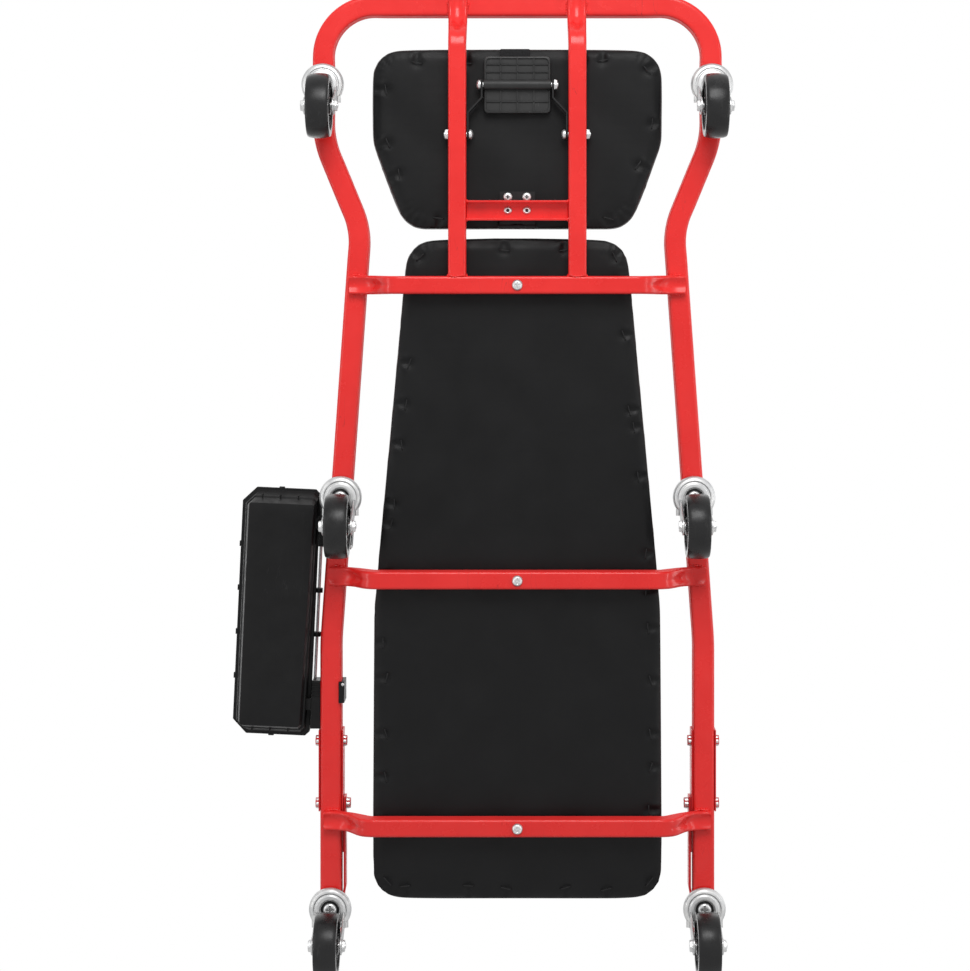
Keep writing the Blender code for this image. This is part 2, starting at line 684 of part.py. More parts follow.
def caster_fork():
    """The turning sheet-steel fork: a stepped crown with two legs down to the axle."""
    bore = KING_PIN_DIAMETER / 2 + TURNING_CLEARANCE
    plate = CROWN_PLATE_DIAMETER / 2
    rim = plate + CROWN_STEP * 0.65
    sheet = CROWN_SHEET
    profile = [
        (bore, CROWN_BOTTOM + sheet),
        (bore, CROWN_BOTTOM),
        (plate, CROWN_BOTTOM),
        (rim, CROWN_BOTTOM + CROWN_STEP),
        (CROWN_DIAMETER / 2, CROWN_BOTTOM + CROWN_STEP),
        (CROWN_DIAMETER / 2, CROWN_TOP),
        (rim - sheet / 2, CROWN_TOP),
        (plate - sheet / 2, CROWN_BOTTOM + sheet),
    ]
    fork = turned(profile, CASTER_SEGMENTS, loop=True)
    foot = LEG_FOOT_DIAMETER / 2
    top = CROWN_BOTTOM + CROWN_STEP + sheet / 2
    half = LEG_TOP_LENGTH / 2
    outline = [(half, top), (-half, top), (-half, CROWN_BOTTOM)]
    for i in range(9):
        turn = math.radians(200 + 22.5 * i)
        outline.append((CASTER_TRAIL + foot * math.cos(turn), AXLE_Z + foot * math.sin(turn)))
    inner = WHEEL_WIDTH / 2 + HUB_STAND + WHEEL_SIDE_CLEARANCE
    hole = bolt_hole(0, CASTER_TRAIL, AXLE_Z, AXLE_DIAMETER, CROWN_DIAMETER)
    for sign in (-1, 1):
        ends = (sign * inner, sign * (inner + LEG_SHEET))
        leg = skin([[(x, y, z) for y, z in outline] for x in ends])
        fork = joined(fork, cut(leg, hole))
    return fork


def caster_wheel():
    """A solid wheel with a crowned tread, a recessed disc and a hub, bored for the axle along X."""
    tread = WHEEL_DIAMETER / 2
    half = WHEEL_WIDTH / 2
    web = half - WEB_RECESS
    rim = tread - TREAD_DROP - RIM_DEPTH
    hub = HUB_DIAMETER / 2
    bore = AXLE_DIAMETER / 2 + TURNING_CLEARANCE
    side = [
        (tread, TREAD_FLAT / 2),
        (tread - TREAD_DROP, half),
        (rim, half),
        (rim - WEB_RECESS / 2, web),
        (hub + WEB_RECESS / 2, web),
        (hub, half + HUB_STAND),
        (bore, half + HUB_STAND),
    ]
    profile = [(radius, -x) for radius, x in reversed(side)] + side
    level = math.pi / WHEEL_SEGMENTS
    return moved(turned(profile, WHEEL_SEGMENTS, loop=True, start=level), ALONG_X)


def build_casters():
    stem = caster_stem()
    fork = caster_fork()
    wheel = caster_wheel()
    reach = WHEEL_WIDTH / 2 + HUB_STAND + WHEEL_SIDE_CLEARANCE + LEG_SHEET + GAP
    axle = bolt(AXLE_DIAMETER, -reach, reach, NUT_WIDTH, NUT_HEIGHT)
    for end, y in CASTER_Y.items():
        for side, sign in SIDES.items():
            place = (sign * rail_x(y), y, 0)
            name = f"{end}_{side}"
            add(f"{name}_stem", stem.copy(), ZINC, creeper, place)
            swivel = axis_empty(f"{name}_swivel", place)
            add(f"{name}_fork", fork.copy(), ZINC, swivel)
            hub = axis_empty(f"{name}_hub", (0, CASTER_TRAIL, AXLE_Z), swivel)
            add(f"{name}_wheel", wheel.copy(), WHEEL_PLASTIC, hub)
            add(f"{name}_axle", axle.copy(), ZINC, swivel, (0, CASTER_TRAIL, AXLE_Z))


def cushion(corners, thickness):
    """A cushion with a drawn-in foot, full sides, round shoulders and a crown, hollow for its board."""
    levels = [
        (0.0050, 0.0),
        (0.0018, 0.16),
        (0.0, 0.45),
        (0.0012, 0.68),
        (0.0050, 0.87),
        (0.0120, 1.0),
    ]
    heights = [(depth, PAD_BOTTOM + thickness * share) for depth, share in levels]
    for depth, share in ((0.028, 0.5), (0.050, 0.85), (0.075, 1.0)):
        heights.append((depth, PAD_BOTTOM + thickness + PAD_CROWN * share))
    rings = [[(x, y, z) for x, y in pad_outline(corners, depth)] for depth, z in heights]
    room_top = BOARD_BOTTOM + BOARD_THICKNESS + GAP
    room = prism(pad_outline(corners, BOARD_INSET), PAD_BOTTOM + WRAP_THICKNESS, room_top)
    open_part = pad_outline(corners, BOARD_INSET + WRAP_MARGIN)
    mouth = prism(open_part, PAD_BOTTOM - GAP, BOARD_BOTTOM + GAP)
    return cut(skin(rings), room, mouth)


def board(corners, holes):
    """A pad's board, with a hole for each (x, y, diameter) of its screws."""
    outline = pad_outline(corners, BOARD_INSET + GAP)
    plate = prism(outline, BOARD_BOTTOM, BOARD_BOTTOM + BOARD_THICKNESS)
    cutters = []
    for x, y, diameter in holes:
        size = diameter + 2 * HOLE_CLEARANCE
        cutters.append(pin(size, 0, BOARD_BOTTOM + BOARD_THICKNESS + GAP, (x, y, 0), Matrix()))
    return cut(plate, *cutters)


def set_at(mesh, place):
    """The mesh with its origin moved to a place on its joint's axis."""
    return moved(mesh, Matrix.Translation([-value for value in place]))


HINGE_Z = PAD_BOTTOM - GAP - KNUCKLE_DIAMETER / 2
HINGE_PLACE = (0, HINGE_Y, HINGE_Z)


def build_pads(tilt):
    main = [
        (-MAIN_PAD_NECK_HALF_WIDTH, MAIN_PAD_TOP_Y),
        (MAIN_PAD_NECK_HALF_WIDTH, MAIN_PAD_TOP_Y),
        (MAIN_PAD_HALF_WIDTH, MAIN_PAD_HIP_Y),
        (MAIN_PAD_HALF_WIDTH, MAIN_PAD_END_Y),
        (-MAIN_PAD_HALF_WIDTH, MAIN_PAD_END_Y),
        (-MAIN_PAD_HALF_WIDTH, MAIN_PAD_HIP_Y),
    ]
    add("main_cushion", cushion(main, MAIN_PAD_THICKNESS), BLACK_VINYL)
    holes = [(0, y, PAD_SCREW_DIAMETER) for y in CROSSBAR_Y.values()]
    add("main_board", board(main, holes), PLYWOOD)
    head = [
        (-HEAD_PAD_HALF_WIDTH, HEAD_PAD_TOP_Y),
        (HEAD_PAD_HALF_WIDTH, HEAD_PAD_TOP_Y),
        (HEAD_PAD_HALF_WIDTH, HEAD_PAD_SIDE_Y),
        (HEAD_PAD_NECK_HALF_WIDTH, HEAD_PAD_END_Y),
        (-HEAD_PAD_NECK_HALF_WIDTH, HEAD_PAD_END_Y),
        (-HEAD_PAD_HALF_WIDTH, HEAD_PAD_SIDE_Y),
    ]
    add("head_cushion", set_at(cushion(head, HEAD_PAD_THICKNESS), HINGE_PLACE), BLACK_VINYL, tilt)
    holes = [(sign * LEAF_SCREW_X, LEAF_SCREW_Y, LEAF_SCREW_DIAMETER) for sign in SIDES.values()]
    add("head_board", set_at(board(head, holes), HINGE_PLACE), PLYWOOD, tilt)
    radius = PAD_SCREW_DIAMETER / 2
    head_radius = PAD_SCREW_HEAD_DIAMETER / 2
    seat = BAR_BOTTOM - GAP
    profile = [
        (radius, BOARD_BOTTOM + PAD_SCREW_BITE),
        (radius, seat),
        (head_radius, seat),
        (head_radius * 0.94, seat - PAD_SCREW_HEAD_HEIGHT * 0.5),
        (head_radius * 0.55, seat - PAD_SCREW_HEAD_HEIGHT),
    ]
    for name, y in CROSSBAR_Y.items():
        add(f"{name}_pad_screw", turned(profile, 12), ZINC, creeper, (0, y, 0))


def build_hinge(tilt):
    """A closed butt hinge: its lower leaf on the channel, its upper leaf under the head board."""
    knuckle = KNUCKLE_DIAMETER / 2
    half_leaf = LEAF_WIDTH / 2
    half_middle = MIDDLE_KNUCKLE / 2
    upper = (PAD_BOTTOM - GAP - LEAF_SHEET, PAD_BOTTOM - GAP)
    lower = (upper[0] - LEAF_GAP - LEAF_SHEET, upper[0] - LEAF_GAP)
    web_top = lower[0] - GAP
    web_bottom = web_top - CHANNEL_SHEET
    channel_end = CHANNEL_START_Y + CHANNEL_WIDTH
    bore = bolt_hole(0, HINGE_Y, HINGE_Z, HINGE_PIN_DIAMETER, LEAF_WIDTH)

    half_channel = HEADREST_TUBE_X - TUBE_SIZE / 2 - GAP
    outside = (web_top - CHANNEL_HEIGHT, web_top)
    channel = box((-half_channel, half_channel), (CHANNEL_START_Y, channel_end), outside)
    hollow = (CHANNEL_START_Y + CHANNEL_SHEET, channel_end - CHANNEL_SHEET)
    cutters = [box((-1, 1), hollow, (0, web_bottom))]
    for sign in SIDES.values():
        size = RIVET_DIAMETER + 2 * HOLE_CLEARANCE
        cutters.append(pin(size, 0, 2 * web_top, (sign * LEAF_SCREW_X, RIVET_Y, 0), Matrix()))
    add("hinge_channel", cut(channel, *cutters), RED_PAINT)

    clear = HINGE_Y - knuckle - GAP
    touch = HINGE_Y - HINGE_PIN_DIAMETER / 2 - 2 * HOLE_CLEARANCE
    fixed = box((-half_leaf, half_leaf), (CHANNEL_START_Y + CHANNEL_SHEET, clear), lower)
    for sign in SIDES.values():
        ends = sorted((sign * (half_middle + GAP), sign * half_leaf))
        fixed = joined(fixed, box(ends, (clear - LEAF_SHEET, touch), lower))
        fixed = joined(fixed, pin(KNUCKLE_DIAMETER, *ends, HINGE_PLACE))
        radius = RIVET_DIAMETER / 2
        flat = RIVET_HEAD_DIAMETER / 2
        seat = web_bottom - GAP
        rivet = turned([
            (radius, lower[0] + LEAF_SHEET / 2),
            (radius, seat),
            (flat, seat),
            (flat * 0.7, seat - RIVET_HEAD_HEIGHT),
        ], 12)
        fixed = joined(fixed, moved(rivet, Matrix.Translation((sign * LEAF_SCREW_X, RIVET_Y, 0))))
    add("hinge_fixed_leaf", cut(fixed, bore), DARK_STEEL)

    moving = box((-half_leaf, half_leaf), (LEAF_START_Y, clear), upper)
    bridge = box((-half_middle, half_middle), (clear - LEAF_SHEET, HINGE_Y), upper)
    barrel = pin(KNUCKLE_DIAMETER, -half_middle, half_middle, HINGE_PLACE)
    moving = joined(moving, bridge, barrel)
    for sign in SIDES.values():
        radius = LEAF_SCREW_DIAMETER / 2
        wide = LEAF_SCREW_HEAD_DIAMETER / 2
        screw = turned([
            (radius, BOARD_BOTTOM + LEAF_SCREW_BITE),
            (radius, upper[1] - LEAF_SHEET / 2),
            (wide, upper[1] - LEAF_SHEET / 2),
            (wide, upper[0]),
            (wide * 0.6, upper[0] - LEAF_SCREW_HEAD_HEIGHT),
        ], 12)
        moving = joined(moving, moved(screw, Matrix.Translation((sign * LEAF_SCREW_X, LEAF_SCREW_Y, 0))))
    add("hinge_moving_leaf", set_at(cut(moving, bore), HINGE_PLACE), DARK_STEEL, tilt)

    head = HINGE_PIN_DIAMETER / 2 + LEAF_SHEET / 2
    end = half_leaf + GAP
    rings = []
    for radius, x in (
        (head, -end - LEAF_SHEET),
        (head, -end),
        (HINGE_PIN_DIAMETER / 2, -end),
        (HINGE_PIN_DIAMETER / 2, end),
        (head, end),
        (head, end + LEAF_SHEET),
    ):
        rings.append([(x, HINGE_Y + a, HINGE_Z + b) for a, b in circle(radius, 12)])
    add("hinge_pin", skin(rings), DARK_STEEL)


def build_prop():
    """The prop: two strap arms on the headrest tubes, a rod between them and a ribbed plate on it."""
    swing = axis_empty("prop_swing", (0, PROP_PIVOT_Y, BAR_Z))
    plate_axis = axis_empty("prop_plate_axis", (0, PROP_ROD_Y - PROP_PIVOT_Y, 0), swing)
    tube_face = HEADREST_TUBE_X - TUBE_SIZE / 2
    pivot_x = tube_face - ARM_SIDE_GAP - ARM_SHEET / 2
    barrel_half = PLATE_WIDTH / 2 + BARREL_STAND
    rod_x = barrel_half + ARM_BARREL_GAP + ARM_SHEET / 2
    round_end = ARM_WIDTH / 2
    for side, sign in SIDES.items():
        route = [
            (rod_x, PROP_ROD_Y - round_end),
            (rod_x, ARM_BEND_START_Y),
            (pivot_x, ARM_BEND_END_Y),
            (pivot_x, PROP_PIVOT_Y + round_end),
        ]
        path = [Vector((sign * a, b - PROP_PIVOT_Y, 0)) for a, b in route]
        strip = strip_section(ARM_SHEET, ARM_WIDTH)
        arm = swept(path, [strip] * len(path), Vector((0, 0, 1)))
        outline = []
        for centre, start in ((0, -90), (PROP_ROD_Y - PROP_PIVOT_Y, 90)):
            for i in range(9):
                turn = math.radians(start + 22.5 * i)
                outline.append((centre + round_end * math.cos(turn), round_end * math.sin(turn)))
        shadow = skin([[(x, y, z) for y, z in outline] for x in sorted((0, sign * HEADREST_TUBE_X))])
        arm = combined(arm, [shadow], "INTERSECT")
        size = PROP_BOLT_DIAMETER - 2 * HOLE_CLEARANCE + 2 * TURNING_CLEARANCE
        holes = [bolt_hole(0, y - PROP_PIVOT_Y, 0, size, 1) for y in (PROP_PIVOT_Y, PROP_ROD_Y)]
        add(f"{side}_prop_arm", cut(arm, *holes), DARK_STEEL, swing)
        inner_end = pivot_x - ARM_SHEET / 2 - GAP
        outer_end = HEADREST_TUBE_X + TUBE_SIZE / 2 + GAP
        ends = sorted((sign * inner_end, sign * outer_end))
        fastener = bolt(PROP_BOLT_DIAMETER, *ends, FRAME_NUT_WIDTH, FRAME_NUT_HEIGHT)
        add(f"{side}_prop_bolt", fastener, ZINC, creeper, (0, PROP_PIVOT_Y, BAR_Z))

    reach = rod_x + ARM_SHEET / 2 + GAP
    rod = bolt(PROP_BOLT_DIAMETER, -reach, reach, FRAME_NUT_WIDTH, FRAME_NUT_HEIGHT)
    add("prop_rod", rod, ZINC, swing, (0, PROP_ROD_Y - PROP_PIVOT_Y, 0))

    top = PAD_BOTTOM - PLATE_TOP_GAP - BAR_Z
    bottom = top - PLATE_HEIGHT
    half_width = PLATE_WIDTH / 2
    half_length = PLATE_LENGTH / 2
    plate = box((-half_width, half_width), (-half_length, half_length), (bottom, top))
    radius = BARREL_DIAMETER / 2
    pockets = []
    pocket = (bottom - GAP, bottom + POCKET_DEPTH)
    across = (PLATE_WIDTH - PLATE_WALL) / POCKET_COLUMNS
    for rows, sign in ((POCKET_AHEAD_ROWS, -1), (POCKET_BEHIND_ROWS, 1)):
        deep = (half_length - radius) / rows
        for row in range(rows):
            y = sorted(sign * (radius + deep * row + shift) for shift in (0, deep - PLATE_WALL))
            for column in range(POCKET_COLUMNS):
                x = -half_width + PLATE_WALL + across * column
                pockets.append(box((x, x + across - PLATE_WALL), y, pocket))
    plate = cut(plate, *pockets)
    plate = joined(plate, pin(BARREL_DIAMETER, -barrel_half, barrel_half, (0, 0, 0)))
    bore = PROP_BOLT_DIAMETER - 2 * HOLE_CLEARANCE + 2 * TURNING_CLEARANCE
    add("prop_plate", cut(plate, bolt_hole(0, 0, 0, bore, 1)), BLACK_PLASTIC, plate_axis)


def rod_line():
    """The rod's middle and its slope, from the two clips that hold it."""
    first, last = [(rail_x(y) + RAIL_SIZE / 2 + ROD_STANDOFF, y) for y in CLIP_Y.values()]
    slope = (last[0] - first[0]) / (last[1] - first[1])
    return (first[0] + last[0]) / 2, (first[1] + last[1]) / 2, slope


def tray_outline(near_depth, far_depth, end_depth, far_cut=TRAY_CHAMFER, near_cut=TRAY_INNER_CHAMFER):
    """The tray's rim outline with its sides moved in by these depths and its corners cut."""
    near = TRAY_EDGE + near_depth
    far = TRAY_EDGE + TRAY_WIDTH - far_depth
    half = TRAY_LENGTH / 2 - end_depth
    return [
        (near + near_cut, -half),
        (far - far_cut, -half),
        (far, -half + far_cut),
        (far, half - far_cut),
        (far - far_cut, half),
        (near + near_cut, half),
        (near, half - near_cut),
        (near, -half + near_cut),
    ]


def tray_floor(wall):
    """The tray's nearly square floor outline, on the outside or moved in by its wall."""
    drafts = (TRAY_NEAR_DRAFT, TRAY_FAR_DRAFT, TRAY_END_DRAFT)
    cuts = (TRAY_FLOOR_CHAMFER, TRAY_FLOOR_CHAMFER)
    return tray_outline(*(draft + wall for draft in drafts), *cuts)


def build_tray():
    """The tray and its rod, in a frame on the rod's axis with X pointing out and Y to the head."""
    x, y, slope = rod_line()
    turn = math.pi + math.atan(slope)
    rod_place = Matrix.Translation((-x, y, ROD_Z)) @ Matrix.Rotation(turn, 4, "Z")
    fold = axis_empty("tray_fold", (-x, y, ROD_Z), creeper, turn)
    first, last = CLIP_Y.values()
    half_rod = (last - first + CLIP_LENGTH) / 2 - ROD_END
    rod = pin(ROD_DIAMETER, -half_rod, half_rod, (0, 0, 0), ALONG_Y)
    add("tray_rod", rod, BRIGHT_STEEL, creeper, (-x, y, ROD_Z), turn)

    rim = -TRAY_RIM_DROP
    floor = rim - TRAY_DEPTH
    under_lip = rim - TRAY_LIP_HEIGHT
    mouth = TRAY_LIP + TRAY_WALL
    levels = [
        (tray_floor(0), floor),
        (tray_outline(TRAY_LIP, TRAY_LIP, TRAY_LIP), under_lip),
        (tray_outline(0, 0, 0), under_lip),
        (tray_outline(0, 0, 0), rim),
        (tray_outline(mouth, mouth, mouth), rim),
        (tray_floor(TRAY_WALL), floor + TRAY_WALL),
    ]
    tray = skin([[(a, b, z) for a, b in outline] for outline, z in levels])
    tab_half = TRAY_TAB_LENGTH / 2
    far = TRAY_EDGE + TRAY_WIDTH
    stand = (far - TRAY_LIP, far + TRAY_TAB_STAND)
    lip_band = (under_lip + GAP, rim - GAP)
    extras = []
    for step in (-1.5, -0.5, 0.5, 1.5):
        place = step * TRAY_TAB_PITCH
        extras.append(box(stand, (place - tab_half, place + tab_half), lip_band))
    middle = TRAY_EDGE + TRAY_WIDTH / 2
    for sign in (-1, 1):
        ends = sorted(sign * (TRAY_LENGTH / 2 + shift) for shift in (-TRAY_LIP, TRAY_TAB_STAND))
        extras.append(box((middle - tab_half, middle + tab_half), ends, lip_band))
    ring = ROD_DIAMETER / 2 + TURNING_CLEARANCE + TRAY_KNUCKLE_WALL
    for sign in (-0.5, 0.5):
        ends = [sign * TRAY_TAB_PITCH + shift * TRAY_KNUCKLE_LENGTH / 2 for shift in (-1, 1)]
        extras.append(pin(2 * ring, *ends, (0, 0, 0), ALONG_Y))
        extras.append(box((0, TRAY_EDGE + TRAY_LIP), ends, (-ring, rim - GAP)))
    heel_top = -TRAY_HEEL_DROP
    heel_wall = TRAY_EDGE + mouth
    for clip_y in CLIP_Y.values():
        place = y - clip_y
        ends = (place - TRAY_HEEL_LENGTH / 2, place + TRAY_HEEL_LENGTH / 2)
        extras.append(box((CLIP_SNAP + GAP, heel_wall), ends, (heel_top - TRAY_HEEL_HEIGHT, heel_top)))
    bore = pin(ROD_DIAMETER + 2 * TURNING_CLEARANCE, -TRAY_LENGTH, TRAY_LENGTH, (0, 0, 0), ALONG_Y)
    add("tool_tray", cut(joined(tray, *extras), bore), BLACK_PLASTIC, fold)

    half_rail = RAIL_SIZE / 2 + GAP
    roof = RAIL_TOP + GAP
    face = RAIL_SIZE / 2 + ROD_STANDOFF + CLIP_SNAP
    lip_top = RAIL_BOTTOM - GAP
    for name, clip_y in CLIP_Y.items():
        towards = -1 if name == "front" else 1
        strap_mid = towards * (CLIP_LENGTH - CLIP_STRAP) / 2
        strap = (strap_mid - CLIP_STRAP / 2, strap_mid + CLIP_STRAP / 2)
        half = CLIP_LENGTH / 2
        lean = half * math.tan(math.atan(slope) - math.atan(rail_slope(clip_y)))
        plan = [(half_rail, -half), (face + lean, -half), (face - lean, half), (half_rail, half)]
        block = prism(plan, roof - CLIP_HEIGHT, roof + CLIP_SHEET)
        inner = -half_rail - CLIP_SHEET
        lip_bottom = lip_top - CLIP_LIP_HEIGHT
        over = box((inner, half_rail + CLIP_SHEET), strap, (roof, roof + CLIP_SHEET))
        leg = box((inner, -half_rail), strap, (lip_bottom, roof + CLIP_SHEET / 2))
        lip = box((inner, -half_rail + CLIP_LIP), strap, (lip_bottom, lip_top))
        clip = joined(block, over, leg, lip)
        here = Matrix.Translation((-rail_x(clip_y), clip_y, 0)) @ Matrix.Rotation(
            math.pi + math.atan(rail_slope(clip_y)), 4, "Z")
        groove = pin(ROD_DIAMETER + 2 * GAP, -half_rod - GAP, half_rod + GAP, (0, 0, 0), ALONG_Y)
        groove = moved(groove, here.inverted() @ rod_place)
        turn = here.to_euler().z
        add(f"{name}_tray_clip", cut(clip, groove), BLACK_PLASTIC, creeper, here.translation, turn)


def centre_on_floor():
    """Moves the whole creeper so that its outline's middle is over the origin."""
    bpy.context.view_layer.update()
    corners = []
    for piece in bpy.data.objects:
        if piece.type == "MESH":
            corners += [piece.matrix_world @ Vector(corner) for corner in piece.bound_box]
    for i in (0, 1):
        values = [corner[i] for corner in corners]
        creeper.location[i] = -(min(values) + max(values)) / 2
    creeper.location.z = -min(corner.z for corner in corners)
    bpy.context.view_layer.update()


build_rails()
build_crossbars()
build_headrest_tubes()
build_tail()
build_casters()
head_tilt = axis_empty("headrest_tilt", HINGE_PLACE)
build_pads(head_tilt)
build_hinge(head_tilt)
build_prop()
build_tray()
centre_on_floor()
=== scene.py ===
import bmesh
import bpy
import numpy as np
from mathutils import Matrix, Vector


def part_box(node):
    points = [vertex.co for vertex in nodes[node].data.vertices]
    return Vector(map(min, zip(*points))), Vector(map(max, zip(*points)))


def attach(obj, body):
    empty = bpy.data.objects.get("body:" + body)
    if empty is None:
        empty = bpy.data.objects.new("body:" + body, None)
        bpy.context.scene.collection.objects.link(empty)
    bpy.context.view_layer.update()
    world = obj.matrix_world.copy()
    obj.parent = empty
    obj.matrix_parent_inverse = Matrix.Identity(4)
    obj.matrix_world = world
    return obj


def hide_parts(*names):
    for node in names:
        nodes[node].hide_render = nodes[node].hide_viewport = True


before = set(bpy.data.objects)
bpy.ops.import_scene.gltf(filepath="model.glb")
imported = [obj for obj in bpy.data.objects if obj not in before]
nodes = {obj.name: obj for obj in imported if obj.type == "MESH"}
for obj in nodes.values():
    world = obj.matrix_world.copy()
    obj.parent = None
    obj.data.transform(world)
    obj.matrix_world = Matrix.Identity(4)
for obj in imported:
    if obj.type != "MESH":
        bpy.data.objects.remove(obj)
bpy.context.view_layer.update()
sides = {"left": -1, "right": 1}


def boxOf(node):
    # lowest corner, highest corner and middle of a solid's box
    low, high = (np.array(corner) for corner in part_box(node))
    return low, high, (low + high) / 2


# the creeper's own lines: x from its middle, y from the head bar towards the foot, z from the floor
lines = {"barSize": 0.0192, "railSize": 0.0232, "corner": 0.003, "railCorner": 0.004, "gap": 0.0003,
         "barBottom": boxOf("neck_crossbar")[0][2], "railBottom": boxOf("left_rail")[0][2],
         "padBottom": boxOf("main_cushion")[0][2], "axleZ": boxOf("head_left_axle")[2][2]}
shift = np.array([boxOf("neck_pad_screw")[2][0], boxOf("left_rail")[0][1] + lines["railSize"] / 2, 0.0])


def ownBox(node):
    # the same three points, measured from the creeper's own lines
    return [corner - shift for corner in boxOf(node)]


barY = {name: ownBox(name + "_crossbar")[2][1] for name in ("neck", "middle", "foot")}
barZ = lines["barBottom"] + lines["barSize"] / 2
railZ = lines["railBottom"] + lines["railSize"] / 2
print("frame loaded, creeper's middle at", shift.round(4))


def unit(vectors):
    # the same directions, each with a length of 1
    return vectors / np.linalg.norm(vectors, axis=-1, keepdims=True)


def gridFaces(rows, cols, closeRows=False, closeCols=True):
    # quads between neighbours of a rows x cols grid, wrapped round where it closes
    r = np.arange(rows if closeRows else rows - 1)[:, None]
    c = np.arange(cols if closeCols else cols - 1)[None, :]
    r2, c2 = (r + 1) % rows, (c + 1) % cols
    return np.stack([r * cols + c, r * cols + c2, r2 * cols + c2, r2 * cols + c], -1).reshape(-1, 4)


def meshOf(name, shape, smoothAngle=40.0):
    # one mesh from points and faces, doubles merged and faces turned outwards
    points, faces = shape
    mesh = bpy.data.meshes.new(name)
    mesh.from_pydata((np.asarray(points).reshape(-1, 3) + shift).tolist(), [], [list(f) for f in faces])
    work = bmesh.new()
    work.from_mesh(mesh)
    bmesh.ops.remove_doubles(work, verts=work.verts, dist=1e-7)
    bmesh.ops.dissolve_degenerate(work, edges=work.edges, dist=1e-8)
    bmesh.ops.recalc_face_normals(work, faces=work.faces)
    work.to_mesh(mesh)
    work.free()
    mesh.shade_smooth()
    mesh.set_sharp_from_angle(angle=np.radians(smoothAngle))
    return mesh


def newObject(name, data):
    # an object in the scene that holds a mesh, a lamp or a camera
    made = bpy.data.objects.new(name, data)
    bpy.context.scene.collection.objects.link(made)
    return made


def addPiece(name, shape, material, body, slot, *replaced, smooth=40.0):
    # a finished piece on its body, in place of the solids it stands for
    mesh = meshOf(name, shape, smooth)
    mesh.materials.append(material)
    piece = newObject(name, mesh)
    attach(piece, body)
    if replaced:
        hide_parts(*replaced)
    return piece


def gathered(shapes):
    # several shapes as one, the later faces counted on from the earlier points
    points, faces, count = [], [], 0
    for somePoints, someFaces in shapes:
        somePoints = np.asarray(somePoints).reshape(-1, 3)
        points.append(somePoints)
        faces += [[int(i) + count for i in face] for face in someFaces]
        count += len(somePoints)
    return np.concatenate(points), faces


def lofted(rings, closed=False):
    # skin over an array of rings, with a flat face at each end unless it closes on itself
    n, m = rings.shape[:2]
    faces = gridFaces(n, m, closeRows=closed).tolist()
    if not closed:
        faces += [list(range(m))[::-1], list(range((n - 1) * m, n * m))]
    return rings.reshape(-1, 3), faces


def turned(profile, count=48, swell=None, closed=False):
    # profile of (radius, height) carried round z; swell may change the radius and height by angle
    profile = np.asarray(profile, float)
    angle = np.linspace(0, 2 * np.pi, count, endpoint=False)
    radius = np.repeat(profile[:, :1], count, 1)
    height = np.repeat(profile[:, 1:], count, 1)
    if swell:
        radius, height = swell(angle[None, :], radius, height)
    return lofted(np.stack([radius * np.cos(angle), radius * np.sin(angle), height], -1), closed)


def softened(profile, radius, steps=5, most=0.49):
    # a profile whose inner corners become arcs that leave both sides at the same distance, at most a share of
    # the shorter side
    profile = np.asarray(profile, float)
    before, corner, after = profile[:-2], profile[1:-1], profile[2:]
    back, on = before - corner, after - corner
    lengths = np.minimum(np.linalg.norm(back, axis=1), np.linalg.norm(on, axis=1))[:, None]
    reach = np.minimum(radius, most * lengths)
    start, end = corner + unit(back) * reach, corner + unit(on) * reach
    t = np.linspace(0, 1, steps + 1)[None, :, None]
    arcs = (1 - t) ** 2 * start[:, None] + 2 * t * (1 - t) * corner[:, None] + t ** 2 * end[:, None]
    return np.concatenate([profile[:1], arcs.reshape(-1, profile.shape[1]), profile[-1:]])


def evened(line, step=None, count=0):
    # the same line with its points at equal steps, or as a count of points that stops short of its end
    run = np.concatenate([[0], np.cumsum(np.linalg.norm(np.diff(line, axis=0), axis=1))])
    at = np.linspace(0, run[-1], count or int(run[-1] / step) + 2, endpoint=not count)
    return np.stack([np.interp(at, run, line[:, i]) for i in range(line.shape[1])], 1)


def atHeight(outline, z):
    # a flat outline as points at one height
    return np.column_stack([outline, np.full(len(outline), z)])


def smoothStep(value):
    # from 0 to 1 with a level start and end, three times the square less twice the cube
    t = np.clip(value, 0, 1)
    return t * t * (3 - 2 * t)


def filletLine(corners, radii, step=0.003):
    # straight runs joined by true arcs, then points at equal steps along the whole line
    corners = np.asarray(corners, float)
    pieces = [corners[:1]]
    for before, corner, after, radius in zip(corners, corners[1:], corners[2:], radii):
        back, on = unit(before - corner), unit(after - corner)
        half = np.arccos(np.clip(back @ on, -1, 1)) / 2
        middle = corner + unit(back + on) * radius / np.sin(half)
        first = (corner + back * radius / np.tan(half) - middle) / radius
        last = (corner + on * radius / np.tan(half) - middle) / radius
        across = unit(last - first * (first @ last))
        turn = np.linspace(0, np.pi - 2 * half, 40)[:, None]
        pieces.append(middle + radius * (first * np.cos(turn) + across * np.sin(turn)))
    return evened(np.concatenate(pieces + [corners[-1:]]), step)


